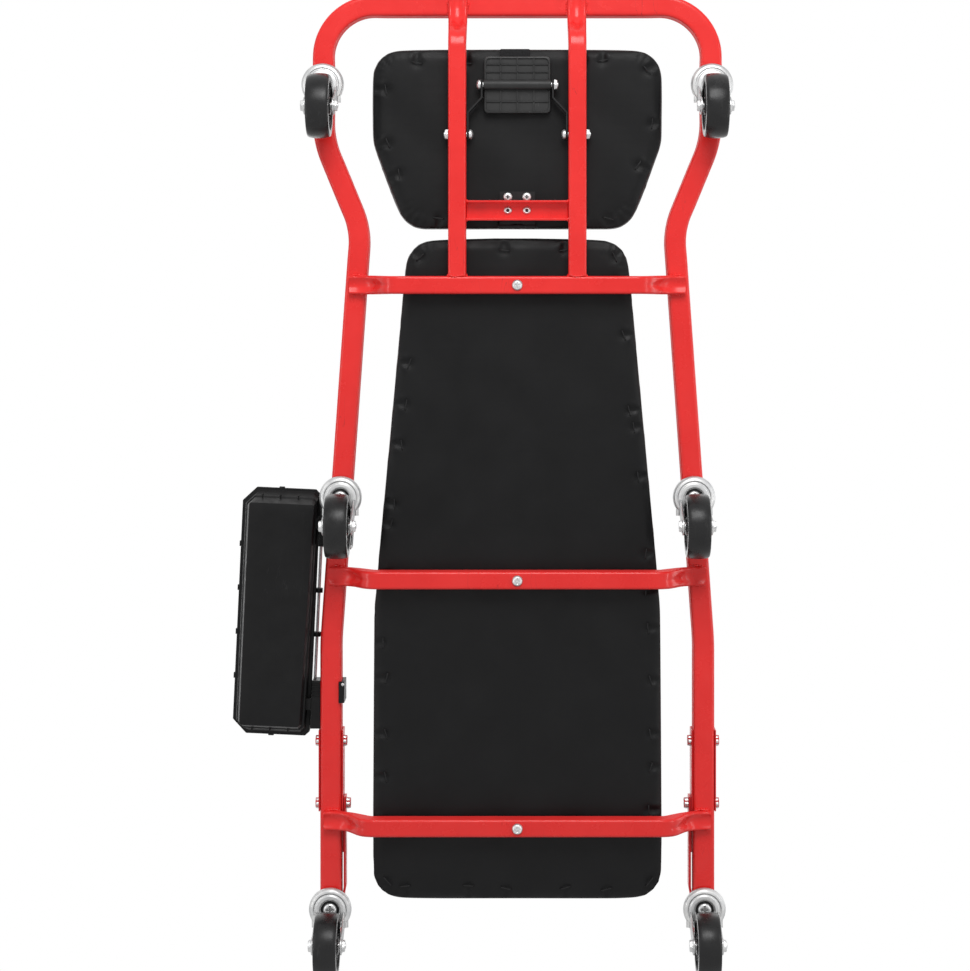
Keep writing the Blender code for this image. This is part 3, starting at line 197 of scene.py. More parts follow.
def tubeSections(width, height, corner, dent=0.0, reach=1.0, steps=5, between=7):
    # round-cornered rectangles, one for each width and height; dent lifts the middle of the lower side,
    # over a share of its width given by reach
    sizes = [np.atleast_1d(np.asarray(v, float)) for v in (width, height, dent, reach)]
    width, height, dent, reach = np.broadcast_arrays(*sizes)
    w, h = width[:, None, None], height[:, None, None]
    turn = np.pi / 2 * (np.arange(4)[:, None] + np.linspace(0, 1, steps + 1)[None, :])[None]
    sx, sy = np.array([1, -1, -1, 1])[None, :, None], np.array([1, 1, -1, -1])[None, :, None]
    arcs = np.stack([sx * (w / 2 - corner) + corner * np.cos(turn),
                     sy * (h / 2 - corner) + corner * np.sin(turn)], -1)
    t = (np.arange(1, between + 1) / (between + 1))[None, None, :, None]
    flats = (1 - t) * arcs[:, :, -1:] + t * np.roll(arcs[:, :, :1], -1, axis=1)
    points = np.concatenate([arcs, flats], 2).reshape(len(width), -1, 2)
    limit = np.maximum(reach[:, None] * width[:, None] / 2, 1e-6)
    share = np.clip(1 - (points[..., 0] / limit) ** 2, 0, 1)
    low = np.clip(-points[..., 1] / (height[:, None] / 2), 0, 1) ** 4
    points[..., 1] += dent[:, None] * share ** 1.3 * low
    return points


def carried(path, sections, normal):
    # sections of (beside, along the normal) pairs set square across a path
    path, normal = np.asarray(path, float), np.asarray(normal, float)
    aside = np.cross(unit(np.gradient(path, axis=0)), normal)
    sections = np.broadcast_to(sections, (len(path),) + sections.shape[-2:])
    return lofted(path[:, None] + aside[:, None] * sections[..., :1] + normal * sections[..., 1:])


def blockShape(low, high, ease=0.0003):
    # a box with rounded long edges, whose sides draw in by the same small step at both ends
    low, high = np.asarray(low, float), np.asarray(high, float)
    size, mid = high - low, (low + high) / 2
    trim = 2 * ease * np.array([1, 0, 0, 1])
    sections = tubeSections(size[0] - trim, size[2] - trim, ease, steps=2, between=1)
    at = np.array([low[1], low[1] + ease, high[1] - ease, high[1]])[:, None]
    at = np.repeat(at, sections.shape[1], 1)
    return lofted(np.stack([mid[0] + sections[..., 0], at, mid[2] + sections[..., 1]], -1))


def placed(shape, place=(0, 0, 0), axis="z"):
    # a shape turned so that its own z lies along the axis, then moved
    order = {"z": [0, 1, 2], "x": [2, 0, 1], "y": [1, 2, 0]}[axis]
    return np.asarray(shape[0], float)[:, order] + np.asarray(place), shape[1]


def newNode(tree, kind, links=None, **values):
    # a node with its settings and input values; links maps its inputs to other sockets
    node = tree.nodes.new("ShaderNode" + kind)
    for key, value in values.items():
        if hasattr(node, key):
            setattr(node, key, value)
        else:
            node.inputs[key.replace("_", " ")].default_value = value
    for key, socket in (links or {}).items():
        tree.links.new(socket, node.inputs[key])
    return node


def newGroup(name, inputs, output):
    # an empty node group with named number inputs and one output, and its end nodes
    tree = bpy.data.node_groups.new(name, "ShaderNodeTree")
    for key, value in inputs.items():
        socket = tree.interface.new_socket(key, in_out="INPUT", socket_type="NodeSocketFloat")
        socket.default_value = value
    tree.interface.new_socket(output, in_out="OUTPUT", socket_type="NodeSocketFloat")
    given = tree.nodes.new("NodeGroupInput").outputs
    return tree, given, tree.nodes.new("NodeGroupOutput").inputs[output]


def combined(tree, operation, first, second):
    # a Math node on two sockets or plain numbers
    node = newNode(tree, "Math", operation=operation)
    for index, value in enumerate((first, second)):
        if isinstance(value, (int, float)):
            node.inputs[index].default_value = value
        else:
            tree.links.new(value, node.inputs[index])
    return node.outputs[0]


def makeMottle():
    # slow drift of tone: noise stretched so that most of it runs from 0 to 1
    tree, given, out = newGroup("mottledTone", {"Scale": 30.0}, "Tone")
    where = newNode(tree, "TexCoord").outputs["Object"]
    noise = newNode(tree, "TexNoise", {"Vector": where, "Scale": given["Scale"]}, Detail=5.0, Roughness=0.6)
    spread = newNode(tree, "MapRange", {"Value": noise.outputs["Fac"]}, From_Min=0.34, From_Max=0.66)
    tree.links.new(spread.outputs["Result"], out)
    return tree


def makeGrain():
    # pebbled skin: rounded cells with a finer noise laid over them
    tree, given, out = newGroup("pebbleGrain", {"Scale": 900.0, "Fine": 0.35}, "Height")
    where = newNode(tree, "TexCoord").outputs["Object"]
    cells = newNode(tree, "TexVoronoi", {"Vector": where, "Scale": given["Scale"]}, feature="SMOOTH_F1",
                    Smoothness=0.6)
    finer = combined(tree, "MULTIPLY", given["Scale"], 1.7)
    noise = newNode(tree, "TexNoise", {"Vector": where, "Scale": finer}, Detail=3.0)
    weight = combined(tree, "MULTIPLY", noise.outputs["Fac"], given["Fine"])
    tree.links.new(combined(tree, "ADD", cells.outputs["Distance"], weight), out)
    return tree


def makeWeave():
    # plain weave: the larger of two crossed sine waves
    tree, given, out = newGroup("plainWeave", {"Scale": 420.0}, "Height")
    where = newNode(tree, "TexCoord").outputs["Object"]
    ways = [newNode(tree, "TexWave", {"Vector": where, "Scale": given["Scale"]}, bands_direction=way,
                    Distortion=0.6).outputs["Fac"] for way in ("X", "Y")]
    tree.links.new(combined(tree, "MAXIMUM", *ways), out)
    return tree


def makeScuff():
    # thin broken scratches: a stretched noise kept only where it is close to its middle value, and patchy
    tree, given, out = newGroup("scuffMarks", {"Scale": 60.0, "Width": 0.012}, "Mask")
    where = newNode(tree, "TexCoord").outputs["Object"]
    stretch = newNode(tree, "Mapping", {"Vector": where}, Rotation=(0.4, 0.3, 0.7), Scale=(1.0, 0.12, 1.0))
    noise = newNode(tree, "TexNoise", {"Vector": stretch.outputs[0], "Scale": given["Scale"]}, Detail=4.0)
    centred = combined(tree, "SUBTRACT", noise.outputs["Fac"], 0.5)
    off = newNode(tree, "Math", {0: centred}, operation="ABSOLUTE").outputs[0]
    thin = newNode(tree, "MapRange", {"Value": off, "From Max": given["Width"]}, To_Min=1.0, To_Max=0.0)
    patch = newNode(tree, "TexNoise", {"Vector": where}, Scale=14.0, Detail=2.0)
    patchy = newNode(tree, "MapRange", {"Value": patch.outputs["Fac"]}, From_Min=0.52, From_Max=0.68)
    tree.links.new(combined(tree, "MULTIPLY", thin.outputs[0], patchy.outputs[0]), out)
    return tree


def makeDust():
    # settled dust: thicker where the surface looks up, broken by noise
    tree, given, out = newGroup("settledDust", {"Amount": 0.2}, "Mask")
    up = newNode(tree, "SeparateXYZ", {0: newNode(tree, "NewGeometry").outputs["Normal"]})
    level = newNode(tree, "MapRange", {"Value": up.outputs["Z"]}, From_Min=0.2, From_Max=1.0)
    where = newNode(tree, "TexCoord").outputs["Object"]
    noise = newNode(tree, "TexNoise", {"Vector": where}, Scale=55.0, Detail=6.0, Roughness=0.65)
    spread = newNode(tree, "MapRange", {"Value": noise.outputs["Fac"]}, From_Min=0.4, From_Max=0.75)
    both = combined(tree, "MULTIPLY", level.outputs[0], spread.outputs[0])
    tree.links.new(combined(tree, "MULTIPLY", both, given["Amount"]), out)
    return tree


groups = {"mottle": makeMottle(), "grain": makeGrain(), "weave": makeWeave(), "scuff": makeScuff(),
          "dust": makeDust()}


def grouped(tree, key, **values):
    # one of the shared groups with its own input values
    node = newNode(tree, "Group", node_tree=groups[key])
    for name, value in values.items():
        node.inputs[name].default_value = value
    return node.outputs[0]


def mixed(tree, share, first, second):
    # a colour between two, each a plain colour or another node's socket
    node = newNode(tree, "Mix", {0: share}, data_type="RGBA")
    for index, colour in ((6, first), (7, second)):
        if isinstance(colour, tuple):
            node.inputs[index].default_value = (*colour, 1.0)
        else:
            tree.links.new(colour, node.inputs[index])
    return node.outputs[2]


def newMaterial(name):
    # a material with its node tree and its Principled shader
    material = bpy.data.materials.new(name)
    material.use_nodes = True
    return material, material.node_tree, material.node_tree.nodes["Principled BSDF"]


finishSet = {"dustTone": (0.42, 0.39, 0.35), "roughScale": 2.3, "uprightEnd": 0.8}


def finish(name, tones, rough, metal=0.0, mottle=30.0, grain=(900.0, 0.35), bump=(0.15, 0.0004), scuff=None,
           dust=0.0, dullSides=0.0, **sockets):
    # colour drifts between two tones, then scuffs and dust; roughness drifts too and may rise on upright
    # faces; the grain gives the bump
    material, tree, shader = newMaterial(name)
    colour = mixed(tree, grouped(tree, "mottle", Scale=mottle), *tones)
    if scuff:
        marks = grouped(tree, "scuff", Scale=scuff["scale"], Width=scuff["width"])
        colour = mixed(tree, marks, colour, scuff["tone"])
    if dust:
        colour = mixed(tree, grouped(tree, "dust", Amount=dust), colour, finishSet["dustTone"])
    tree.links.new(colour, shader.inputs["Base Color"])
    drift = grouped(tree, "mottle", Scale=mottle * finishSet["roughScale"])
    roughness = newNode(tree, "MapRange", {"Value": drift}, To_Min=rough[0], To_Max=rough[1])
    level = roughness.outputs[0]
    if dullSides:
        normal = newNode(tree, "SeparateXYZ", {0: newNode(tree, "NewGeometry").outputs["Normal"]})
        slope = newNode(tree, "Math", {0: normal.outputs["Z"]}, operation="ABSOLUTE")
        upright = newNode(tree, "MapRange", {"Value": slope.outputs[0]}, From_Max=finishSet["uprightEnd"],
                          To_Min=dullSides, To_Max=0.0)
        level = combined(tree, "MAXIMUM", level, upright.outputs[0])
    tree.links.new(level, shader.inputs["Roughness"])
    height = grouped(tree, "grain", Scale=grain[0], Fine=grain[1])
    raised = newNode(tree, "Bump", {"Height": height}, Strength=bump[0], Distance=bump[1])
    tree.links.new(raised.outputs[0], shader.inputs["Normal"])
    shader.inputs["Metallic"].default_value = metal
    for key, value in sockets.items():
        shader.inputs[key.replace("_", " ")].default_value = value
    return material


redPaint = finish("redPaint", ((0.79, 0.022, 0.020), (0.85, 0.029, 0.026)), (0.20, 0.30), mottle=18.0,
                  grain=(260.0, 0.6), bump=(0.05, 0.0004), dust=0.10, dullSides=0.7, Specular_IOR_Level=0.34,
                  scuff={"scale": 40.0, "width": 0.003, "tone": (0.50, 0.02, 0.02)})
# a darker, rougher red than the frame's, used on the splices and stays
darkerRed = finish("redPaintDarker", ((0.58, 0.018, 0.020), (0.66, 0.024, 0.026)), (0.34, 0.48), mottle=24.0,
                 grain=(260.0, 0.6), bump=(0.08, 0.0004), dust=0.10, Specular_IOR_Level=0.25,
                 scuff={"scale": 50.0, "width": 0.005, "tone": (0.34, 0.02, 0.02)})
blackPlastic = finish("blackPlastic", ((0.0050, 0.0050, 0.0053), (0.0080, 0.0080, 0.0083)), (0.42, 0.56),
                      mottle=45.0, grain=(1500.0, 0.6), bump=(0.20, 0.0003), dust=0.06,
                      scuff={"scale": 70.0, "width": 0.004, "tone": (0.022, 0.022, 0.022)},
                      Specular_IOR_Level=0.16)
platePlastic = finish("platePlastic", ((0.014, 0.014, 0.0142), (0.020, 0.020, 0.0202)), (0.40, 0.52),
                      mottle=55.0, grain=(1400.0, 0.6), bump=(0.20, 0.0003), dust=0.06,
                      scuff={"scale": 80.0, "width": 0.006, "tone": (0.05, 0.05, 0.05)},
                      Specular_IOR_Level=0.30)
wheelPlastic = finish("wheelPlastic", ((0.0085, 0.0085, 0.009), (0.0135, 0.0135, 0.014)), (0.24, 0.36),
                      mottle=60.0, grain=(1100.0, 0.5), bump=(0.10, 0.0003), dust=0.12,
                      scuff={"scale": 90.0, "width": 0.008, "tone": (0.05, 0.05, 0.05)},
                      Specular_IOR_Level=0.26)
zincPlate = finish("zincPlate", ((0.50, 0.505, 0.51), (0.64, 0.64, 0.635)), (0.34, 0.48), metal=0.75,
                   mottle=90.0, grain=(700.0, 0.8), bump=(0.10, 0.0003),
                   scuff={"scale": 120.0, "width": 0.006, "tone": (0.34, 0.34, 0.35)},
                   Specular_Tint=(0.42, 0.42, 0.43, 1.0))
brightZinc = finish("brightZinc", ((0.54, 0.545, 0.55), (0.68, 0.68, 0.675)), (0.30, 0.42), metal=0.8,
                    mottle=140.0, grain=(900.0, 0.8), bump=(0.08, 0.0003),
                    Specular_Tint=(0.5, 0.5, 0.51, 1.0))
brightSteel = finish("brightSteel", ((0.46, 0.46, 0.47), (0.58, 0.58, 0.59)), (0.26, 0.38), metal=0.9,
                     mottle=120.0, grain=(1600.0, 0.8), bump=(0.08, 0.0002))
darkSteel = finish("blackenedSteel", ((0.008, 0.008, 0.0085), (0.015, 0.015, 0.0155)), (0.40, 0.56),
                   mottle=80.0, grain=(900.0, 0.8), bump=(0.12, 0.0003), Specular_IOR_Level=0.2,
                   scuff={"scale": 110.0, "width": 0.006, "tone": (0.05, 0.05, 0.052)})
webbing = finish("blackWebbing", ((0.010, 0.010, 0.0105), (0.020, 0.020, 0.021)), (0.6, 0.8), mottle=500.0,
                 grain=(1300.0, 0.9), bump=(0.5, 0.0005), Specular_IOR_Level=0.15)


clothSet = {"patches": 16.0, "tones": ((0.0038, 0.0038, 0.0041), (0.0060, 0.0060, 0.0064)), "drift": 35.0,
            "rough": (0.38, 0.54), "weave": 260.0, "weaveRise": 0.35}


def padCover():
    # top and sides are pebbled vinyl, the underside a plainer backing cloth; the "under" attribute parts them
    material = finish("padCover", ((0.0068, 0.0068, 0.0072), (0.0086, 0.0086, 0.0090)), (0.40, 0.50),
                      mottle=22.0, grain=(520.0, 0.5), bump=(0.35, 0.0005), dust=0.012,
                      Specular_IOR_Level=0.16)
    tree = material.node_tree
    shader = tree.nodes["Principled BSDF"]
    under = newNode(tree, "Attribute", attribute_name="under").outputs["Fac"]
    vinyl = shader.inputs["Base Color"].links[0].from_socket
    c = clothSet
    cloth = mixed(tree, grouped(tree, "mottle", Scale=c["patches"]), *c["tones"])
    tree.links.new(mixed(tree, under, vinyl, cloth), shader.inputs["Base Color"])
    shiny = shader.inputs["Roughness"].links[0].from_socket
    drift = grouped(tree, "mottle", Scale=c["drift"])
    woven = newNode(tree, "MapRange", {"Value": drift}, To_Min=c["rough"][0], To_Max=c["rough"][1])
    both = newNode(tree, "Mix", {0: under, 2: shiny, 3: woven.outputs[0]}, data_type="FLOAT")
    tree.links.new(both.outputs[0], shader.inputs["Roughness"])
    bump = shader.inputs["Normal"].links[0].from_node
    pebbles = bump.inputs["Height"].links[0].from_socket
    weave = combined(tree, "MULTIPLY", grouped(tree, "weave", Scale=c["weave"]), c["weaveRise"])
    pick = newNode(tree, "Mix", {0: under, 2: pebbles, 3: weave}, data_type="FLOAT")
    tree.links.new(pick.outputs[0], bump.inputs["Height"])
    return material


padVinyl = padCover()
print("finishes made:", len(bpy.data.materials))


railPath = {"headX": 0.2107, "shoulderY": 0.146, "waistX": 0.1708, "waistY": 0.243, "hipX": 0.2025,
            "hipY": 0.690, "bends": (0.056, 0.110, 0.090, 0.350), "step": 0.0025, "drawIn": 0.00006,
            "drawPower": 6, "blend": 9}
tailLow, tailHigh, tailMid = ownBox("right_tail_leg")


def railX(y):
    # distance of the rail's centre line from the middle, by straight runs
    r = railPath
    return np.interp(y, [r["shoulderY"], r["waistY"], r["hipY"]], [r["headX"], r["waistX"], r["hipX"]])


def makeRail():
    # one bent square tube from tail joint to tail joint round the head; bends draw the inner wall in a little
    r = railPath
    half = np.array([[r["headX"], 0], [r["headX"], r["shoulderY"]], [r["waistX"], r["waistY"]],
                     [r["hipX"], r["hipY"]], [r["hipX"], tailLow[1]]])
    corners = np.concatenate([half[::-1] * [-1, 1], half])
    flat = filletLine(corners, r["bends"][::-1] + r["bends"], r["step"])
    path = atHeight(flat, railZ)
    ahead = np.gradient(flat, axis=0)
    turning = np.gradient(np.unwrap(np.arctan2(ahead[:, 1], ahead[:, 0]))) / r["step"]
    turning = np.convolve(turning, np.ones(r["blend"]) / r["blend"], "same")
    size = lines["railSize"]
    sections = np.repeat(tubeSections(size, size, lines["railCorner"]), len(path), 0)
    inner = np.clip(sections[..., 0] * np.sign(turning)[:, None] * -1 / (size / 2), 0, 1) ** r["drawPower"]
    rise = 1 - (sections[..., 1] / (size / 2)) ** 2
    sections[..., 0] += inner * rise * (turning * r["drawIn"])[:, None]
    shape = carried(path, sections, (0, 0, 1))
    addPiece("frameTube", shape, redPaint, "frame", "red_paint", "left_rail", "right_rail")


riser = {"run": 0.026, "bends": (0.016, 0.038), "endThick": 0.008, "overlap": 0.007, "flare": 0.0012,
         "blunt": 0.0012, "bluntShare": 0.1, "cornerShare": 0.98, "spoonStart": 0.034, "spoonNose": 0.034,
         "spoonDepth": 0.0046, "spoonWidth": 0.86, "noseWidth": 0.15, "spoonEase": 0.35, "step": 0.0016}


def risenTube(start, inner, end):
    # a level tube that rises beside a rail: its height falls to that of the flattened end, and its underside
    # is pressed in like a spoon, from a pointed nose out to the end
    r = riser
    endZ = lines["railBottom"] - lines["gap"] - r["endThick"] / 2
    riseEnd = inner - r["endThick"] / 2
    riseStart = riseEnd - r["run"]
    corners = [(start, barZ), (riseStart, barZ), (riseEnd, endZ), (end, endZ)]
    flat = filletLine(corners, r["bends"], r["step"])
    share = smoothStep((flat[:, 0] - riseStart) / r["run"])
    height = lines["barSize"] + (r["endThick"] - lines["barSize"]) * share
    nose = np.clip((flat[:, 0] - inner + r["spoonStart"]) / r["spoonNose"], 0, 1)
    reach = r["spoonWidth"] * (r["noseWidth"] + (1 - r["noseWidth"]) * nose)
    dent = r["spoonDepth"] * smoothStep(nose) * (1 - r["spoonEase"] * share)
    close = np.clip((end - flat[:, 0]) / r["blunt"], 0, 1)
    trim = 1 - r["bluntShare"] * (1 - np.sqrt(1 - (1 - close) ** 2))
    width = (lines["barSize"] + r["flare"] * share) * trim
    height = height * (1 - r["bluntShare"] * (1 - trim))
    return flat, tubeSections(width, height, lines["corner"] * r["cornerShare"], dent, reach, between=13)


def makeCrossbars():
    # both halves of a bar are the same rising tube, mirrored about the middle
    for name, y in barY.items():
        centre = railX(y)
        flat, sections = risenTube(0.0, centre - lines["railSize"] / 2, centre + riser["overlap"])
        flat = np.concatenate([flat[:0:-1] * [-1, 1], flat])
        sections = np.concatenate([sections[:0:-1], sections])
        path = np.column_stack([flat[:, 0], np.full(len(flat), y), flat[:, 1]])
        shape = carried(path, sections[..., ::-1], (0, 1, 0))
        addPiece(name + "Crossbar", shape, redPaint, "frame", "red_paint", name + "_crossbar")


headrestX = ownBox("right_headrest_tube")[2][0]


def makeHeadrestTubes():
    # from the neck crossbar to a flattened end under the head bar
    start = -(barY["neck"] - lines["barSize"] / 2 - lines["gap"])
    flat, sections = risenTube(start, -lines["railSize"] / 2, riser["overlap"])
    for side, sign in sides.items():
        path = np.column_stack([np.full(len(flat), sign * headrestX), -flat[:, 0], flat[:, 1]])
        shape = carried(path, sections[..., ::-1], (1, 0, 0))
        addPiece(side + "HeadrestTube", shape, redPaint, "frame", "red_paint", side + "_headrest_tube")


def makeTailLegs():
    # straight tubes behind the tail joints
    section = tubeSections(lines["railSize"], lines["railSize"], lines["railCorner"])
    for side, sign in sides.items():
        along = np.linspace(tailLow[1], tailHigh[1], 40)
        path = np.column_stack([np.full_like(along, sign * tailMid[0]), along, np.full_like(along, railZ)])
        addPiece(side + "TailLeg", carried(path, section, (0, 0, 1)), redPaint, "frame", "red_paint",
                 side + "_tail_leg")


makeRail()
makeCrossbars()
makeHeadrestTubes()
makeTailLegs()
print("frame tubes made")


bead = {"radius": 0.0015, "pitch": 0.0030, "ripple": 0.22, "drift": 0.14, "wander": 0.0005, "step": 0.0006,
        "sides": 12, "beside": 0.0008, "length": 0.0165, "inset": 0.001, "headEnd": -0.005,
        "footHalf": 0.0085, "footRise": 0.0008, "footSides": (0.0025, 0.0175), "footIn": 0.0002,
        "endPower": 8, "endLeast": 0.02, "driftTurn": 9, "wanderTurn": 7, "seedStep": 1.7}


def weldBead(start, end, seed):
    # a round bead between two points whose radius swells and shrinks along it, closed to small ends
    start, end = np.asarray(start, float), np.asarray(end, float)
    length = np.linalg.norm(end - start)
    t = np.linspace(0, 1, int(length / bead["step"]) + 8)
    ahead = (end - start) / length
    normal = np.array([0, 0, 1.0]) if abs(ahead[2]) < 0.8 else np.array([1.0, 0, 0])
    aside = np.cross(ahead, normal)
    turn = np.linspace(0, 2 * np.pi, bead["sides"], endpoint=False)[None, :, None]
    ends = np.sqrt(np.clip(1 - np.abs(2 * t - 1) ** bead["endPower"], bead["endLeast"], 1))
    ripples = bead["ripple"] * np.sin(2 * np.pi * t * length / bead["pitch"] + seed)
    drift = bead["drift"] * np.sin(seed * 3 + bead["driftTurn"] * t)
    radius = (bead["radius"] * ends * (1 + ripples + drift))[:, None, None]
    wander = bead["wander"] * np.sin(seed + bead["wanderTurn"] * t)[:, None, None] * aside
    rings = (start + t[:, None] * (end - start))[:, None] + wander
    return lofted(rings + radius * (np.cos(turn) * aside + np.sin(turn) * normal))


def makeWelds():
    # along both sides of each flattened end, round the feet of the headrest tubes and at the channel's ends
    ends, inset = [], bead["inset"]
    under = lines["railBottom"] - lines["gap"]
    beside = lines["barSize"] / 2 + bead["beside"]
    for y in barY.values():
        inner = railX(y) - lines["railSize"] / 2
        for sign in (-1, 1):
            start, end = sign * (inner + inset), sign * (inner + bead["length"])
            ends += [((start, at, under), (end, at, under)) for at in (y - beside, y + beside)]
    foot = barY["neck"] - lines["barSize"] / 2 - lines["gap"]
    edge = lines["barSize"] / 2 - bead["footIn"]
    low = lines["barBottom"]
    sideLow, sideHigh = (low + rise for rise in bead["footSides"])
    channelLow, channelHigh = ownBox("hinge_channel")[:2]
    for sign in (-1, 1):
        x = sign * headrestX
        for aside in (-1, 1):
            at, down = x + aside * beside, x + aside * edge
            ends.append(((at, lines["railSize"] / 2 - inset, under), (at, bead["headEnd"], under)))
            ends.append(((down, foot, sideLow), (down, foot, sideHigh)))
        half, footZ = bead["footHalf"], low + bead["footRise"]
        ends.append(((x - half, foot, footZ), (x + half, foot, footZ)))
        for y in (channelLow[1] + inset, channelHigh[1] - inset):
            ends.append(((sign * channelHigh[0], y, channelLow[2] + inset),
                         (sign * channelHigh[0], y, channelHigh[2] - inset)))
    shapes = [weldBead(*pair, bead["seedStep"] * index) for index, pair in enumerate(ends)]
    addPiece("weldBeads", gathered(shapes), redPaint, "frame", "red_paint", smooth=60)


makeWelds()
print("welds made")


wheelShape = {"radius": lines["axleZ"], "half": 0.0122, "drop": 0.0032, "rim": 0.0050, "recess": 0.0036,
              "hub": 0.0090, "hubStand": 0.0003, "bore": 0.0045, "slope": 0.0012, "lip": 0.0004,
              "soft": 0.0008, "crown": 0.75, "ribs": 10, "ribWidth": 0.0012, "ribRise": 0.0024,
              "ribEnd": 0.0006, "ribEdge": 0.0004}


def wheelParts():
    # a profile from bore to bore over the tread, turned about x; ribs lift the recessed disc in sectors
    w = wheelShape
    edge = w["radius"] - w["drop"]
    rim = edge - w["rim"]
    half, web, hub = w["half"], w["half"] - w["recess"], w["half"] + w["hubStand"]
    side = [(w["bore"], hub), (w["hub"], hub), (w["hub"] + w["slope"], web), (rim - w["slope"], web),
            (rim, half), (edge - w["lip"], half)]
    side = softened(side, w["soft"], 3)
    across = np.linspace(np.pi / 2, -np.pi / 2, 41)
    tread = np.column_stack([edge + w["drop"] * np.cos(across) ** w["crown"], half * np.sin(across)])
    fine = np.linspace(0, 1, 4)[None, :-1, None]
    side = (side[:-1, None] * (1 - fine) + side[1:, None] * fine).reshape(-1, 2)
    profile = np.concatenate([side, tread, (side * [1, -1])[::-1]])

    def ribbed(angle, radius, height):
        past = np.clip((radius - w["hub"] - w["slope"]) / w["ribEnd"], 0, 1)
        inside = past * np.clip((rim - w["soft"] - radius) / w["ribEnd"], 0, 1)
        gap = np.abs((angle * w["ribs"] / (2 * np.pi) + 0.5) % 1 - 0.5) * 2 * np.pi / w["ribs"] * radius
        rib = np.clip((w["ribWidth"] - gap) / w["ribEdge"], 0, 1)
        return radius, height + np.sign(height) * inside * rib * w["ribRise"]

    return placed(turned(profile, 144, ribbed, closed=True), axis="x")


crownTop = boxOf("head_left_fork")[1][2]
crown = {"radius": 0.0230, "height": 0.0077, "cup": 0.0104, "cupDepth": 0.0028, "cupEdge": 0.0010,
         "cupFoot": 0.0006, "bore": 0.0056, "back": 0.0046, "soft": 0.0007, "rimFoot": 0.0052,
         "bands": [(0.0152, 0.0004), (0.0164, 0.0016), (0.0174, 0.0017), (0.0182, 0.0010), (0.0206, 0.0018),
                   (0.0222, 0.0034)], "rimInside": 0.0214, "shelf": (0.0204, 0.0052), "backEdge": 0.0120}
crown["bottom"] = crownTop - crown["height"]


def crownShape():
    # the stamped crown in one closed profile: cup in the middle, broad band, groove, dished ring, rolled rim
    c = crown
    start = (c["bore"], c["cupDepth"])
    cup = [start, (c["cup"] - c["cupEdge"], c["cupDepth"]), (c["cup"], c["cupFoot"]),
           (c["cup"] + c["cupEdge"], 0.0)]
    rim = [(c["radius"], c["rimFoot"]), (c["radius"], c["height"]), (c["rimInside"], c["height"])]
    back = [c["shelf"], (c["backEdge"], c["back"]), (c["bore"], c["back"]), start]
    profile = softened(cup + c["bands"] + rim + back, c["soft"], 4)[:-1]
    return turned(profile + [0, c["bottom"]], 96, closed=True)


leg = {"sheet": 0.0020, "inner": 0.0141, "foot": 0.0095, "top": 0.0090, "back": 0.0105, "out": 0.0046,
       "bend": 0.0040, "drop": 0.0030, "corner": 0.0006, "step": 0.0009}
trail = boxOf("head_left_axle")[2][1] - boxOf("head_left_stem")[2][1]


def legShape(sign):
    # a strip that leaves the crown's rim level, bends down and runs to a round foot; its middle moves back to
    # the axle on the way
    mid = leg["inner"] + leg["sheet"] / 2
    top = crownTop - leg["drop"]
    foot = lines["axleZ"] - leg["foot"]
    line = filletLine([(mid + leg["out"], top), (mid, top), (mid, foot)], (leg["bend"],), leg["step"])
    eased = smoothStep((top - line[:, 1]) / (top - lines["axleZ"]))
    half = leg["top"] + (leg["foot"] - leg["top"]) * eased
    below = np.clip((lines["axleZ"] - line[:, 1]) / leg["foot"], 0, 0.999)
    half = np.maximum(half * np.sqrt(1 - below ** 2), leg["corner"])
    flat = np.column_stack([sign * line[:, 0], np.zeros(len(line)), line[:, 1]])
    sections = tubeSections(leg["sheet"], 2 * half, leg["corner"], steps=3, between=1)
    sections[..., 1] += (leg["back"] + (trail - leg["back"]) * eased)[:, None]
    return carried(flat, sections, (0, 1, 0))


# shares of half the width, the thickness, the point or the radius
endForm = {"levels": [(0.0, 1.0), (0.72, 1.0), (0.9, 0.55), (1.0, 0.0)], "cone": (0.985, 0.17),
           "thread": (0.50, 0.48, 0.3, 0.04), "threadStart": 0.9, "threadEase": 0.7, "domeSide": 0.35,
           "domeFoot": 0.96, "tip": 0.02}


def hexEnd(width, thick, point=0.0):
    # a hexagon whose outer corners are cut by a cone, with the end of a thread standing out of it
    e = endForm
    levels = np.array(e["levels"]) * [thick, 1.0]
    angle = np.linspace(0, 2 * np.pi, 48, endpoint=False)
    flat = width / 2
    limit = flat * (e["cone"][0] + e["cone"][1] * levels[:, 1:])
    side = flat / np.cos((angle + np.pi / 6) % (np.pi / 3) - np.pi / 6)
    reach = np.minimum(side[None, :], limit)
    height = np.repeat(levels[:, :1], len(angle), 1)
    body = lofted(np.stack([reach * np.cos(angle), reach * np.sin(angle), height], -1))
    if not point:
        return body
    top = thick + point
    heights = (thick * e["threadStart"], thick + point * e["threadEase"], top, top)
    thread = [(flat * share, z) for share, z in zip(e["thread"], heights)]
    return gathered([body, turned(thread, 32)])


def domeEnd(radius, height):
    # a round cap: a short straight side under a dome
    rise = np.linspace(0, np.pi / 2, 9)
    side = endForm["domeSide"]
    dome = np.column_stack([radius * np.cos(rise), height * (side + (1 - side) * np.sin(rise))])
    dome[-1, 0] = radius * endForm["tip"]
    return turned(np.concatenate([[[radius * endForm["domeFoot"], 0.0]], dome]), 40)


def sleeve(inner, outer, low, high, ease=0.0003, steps=3, count=40):
    # a ring about z with eased edges
    ring = [(inner, low), (outer, low), (outer, high), (inner, high), (inner, low)]
    return turned(softened(ring, ease, steps)[:-1], count, closed=True)


def alongX(shape, sign, start):
    # a shape that points along x, to the side that sign gives, from a distance given
    points, faces = shape
    return placed((points * [1, 1, sign] + [0, 0, sign * start], faces), axis="x")


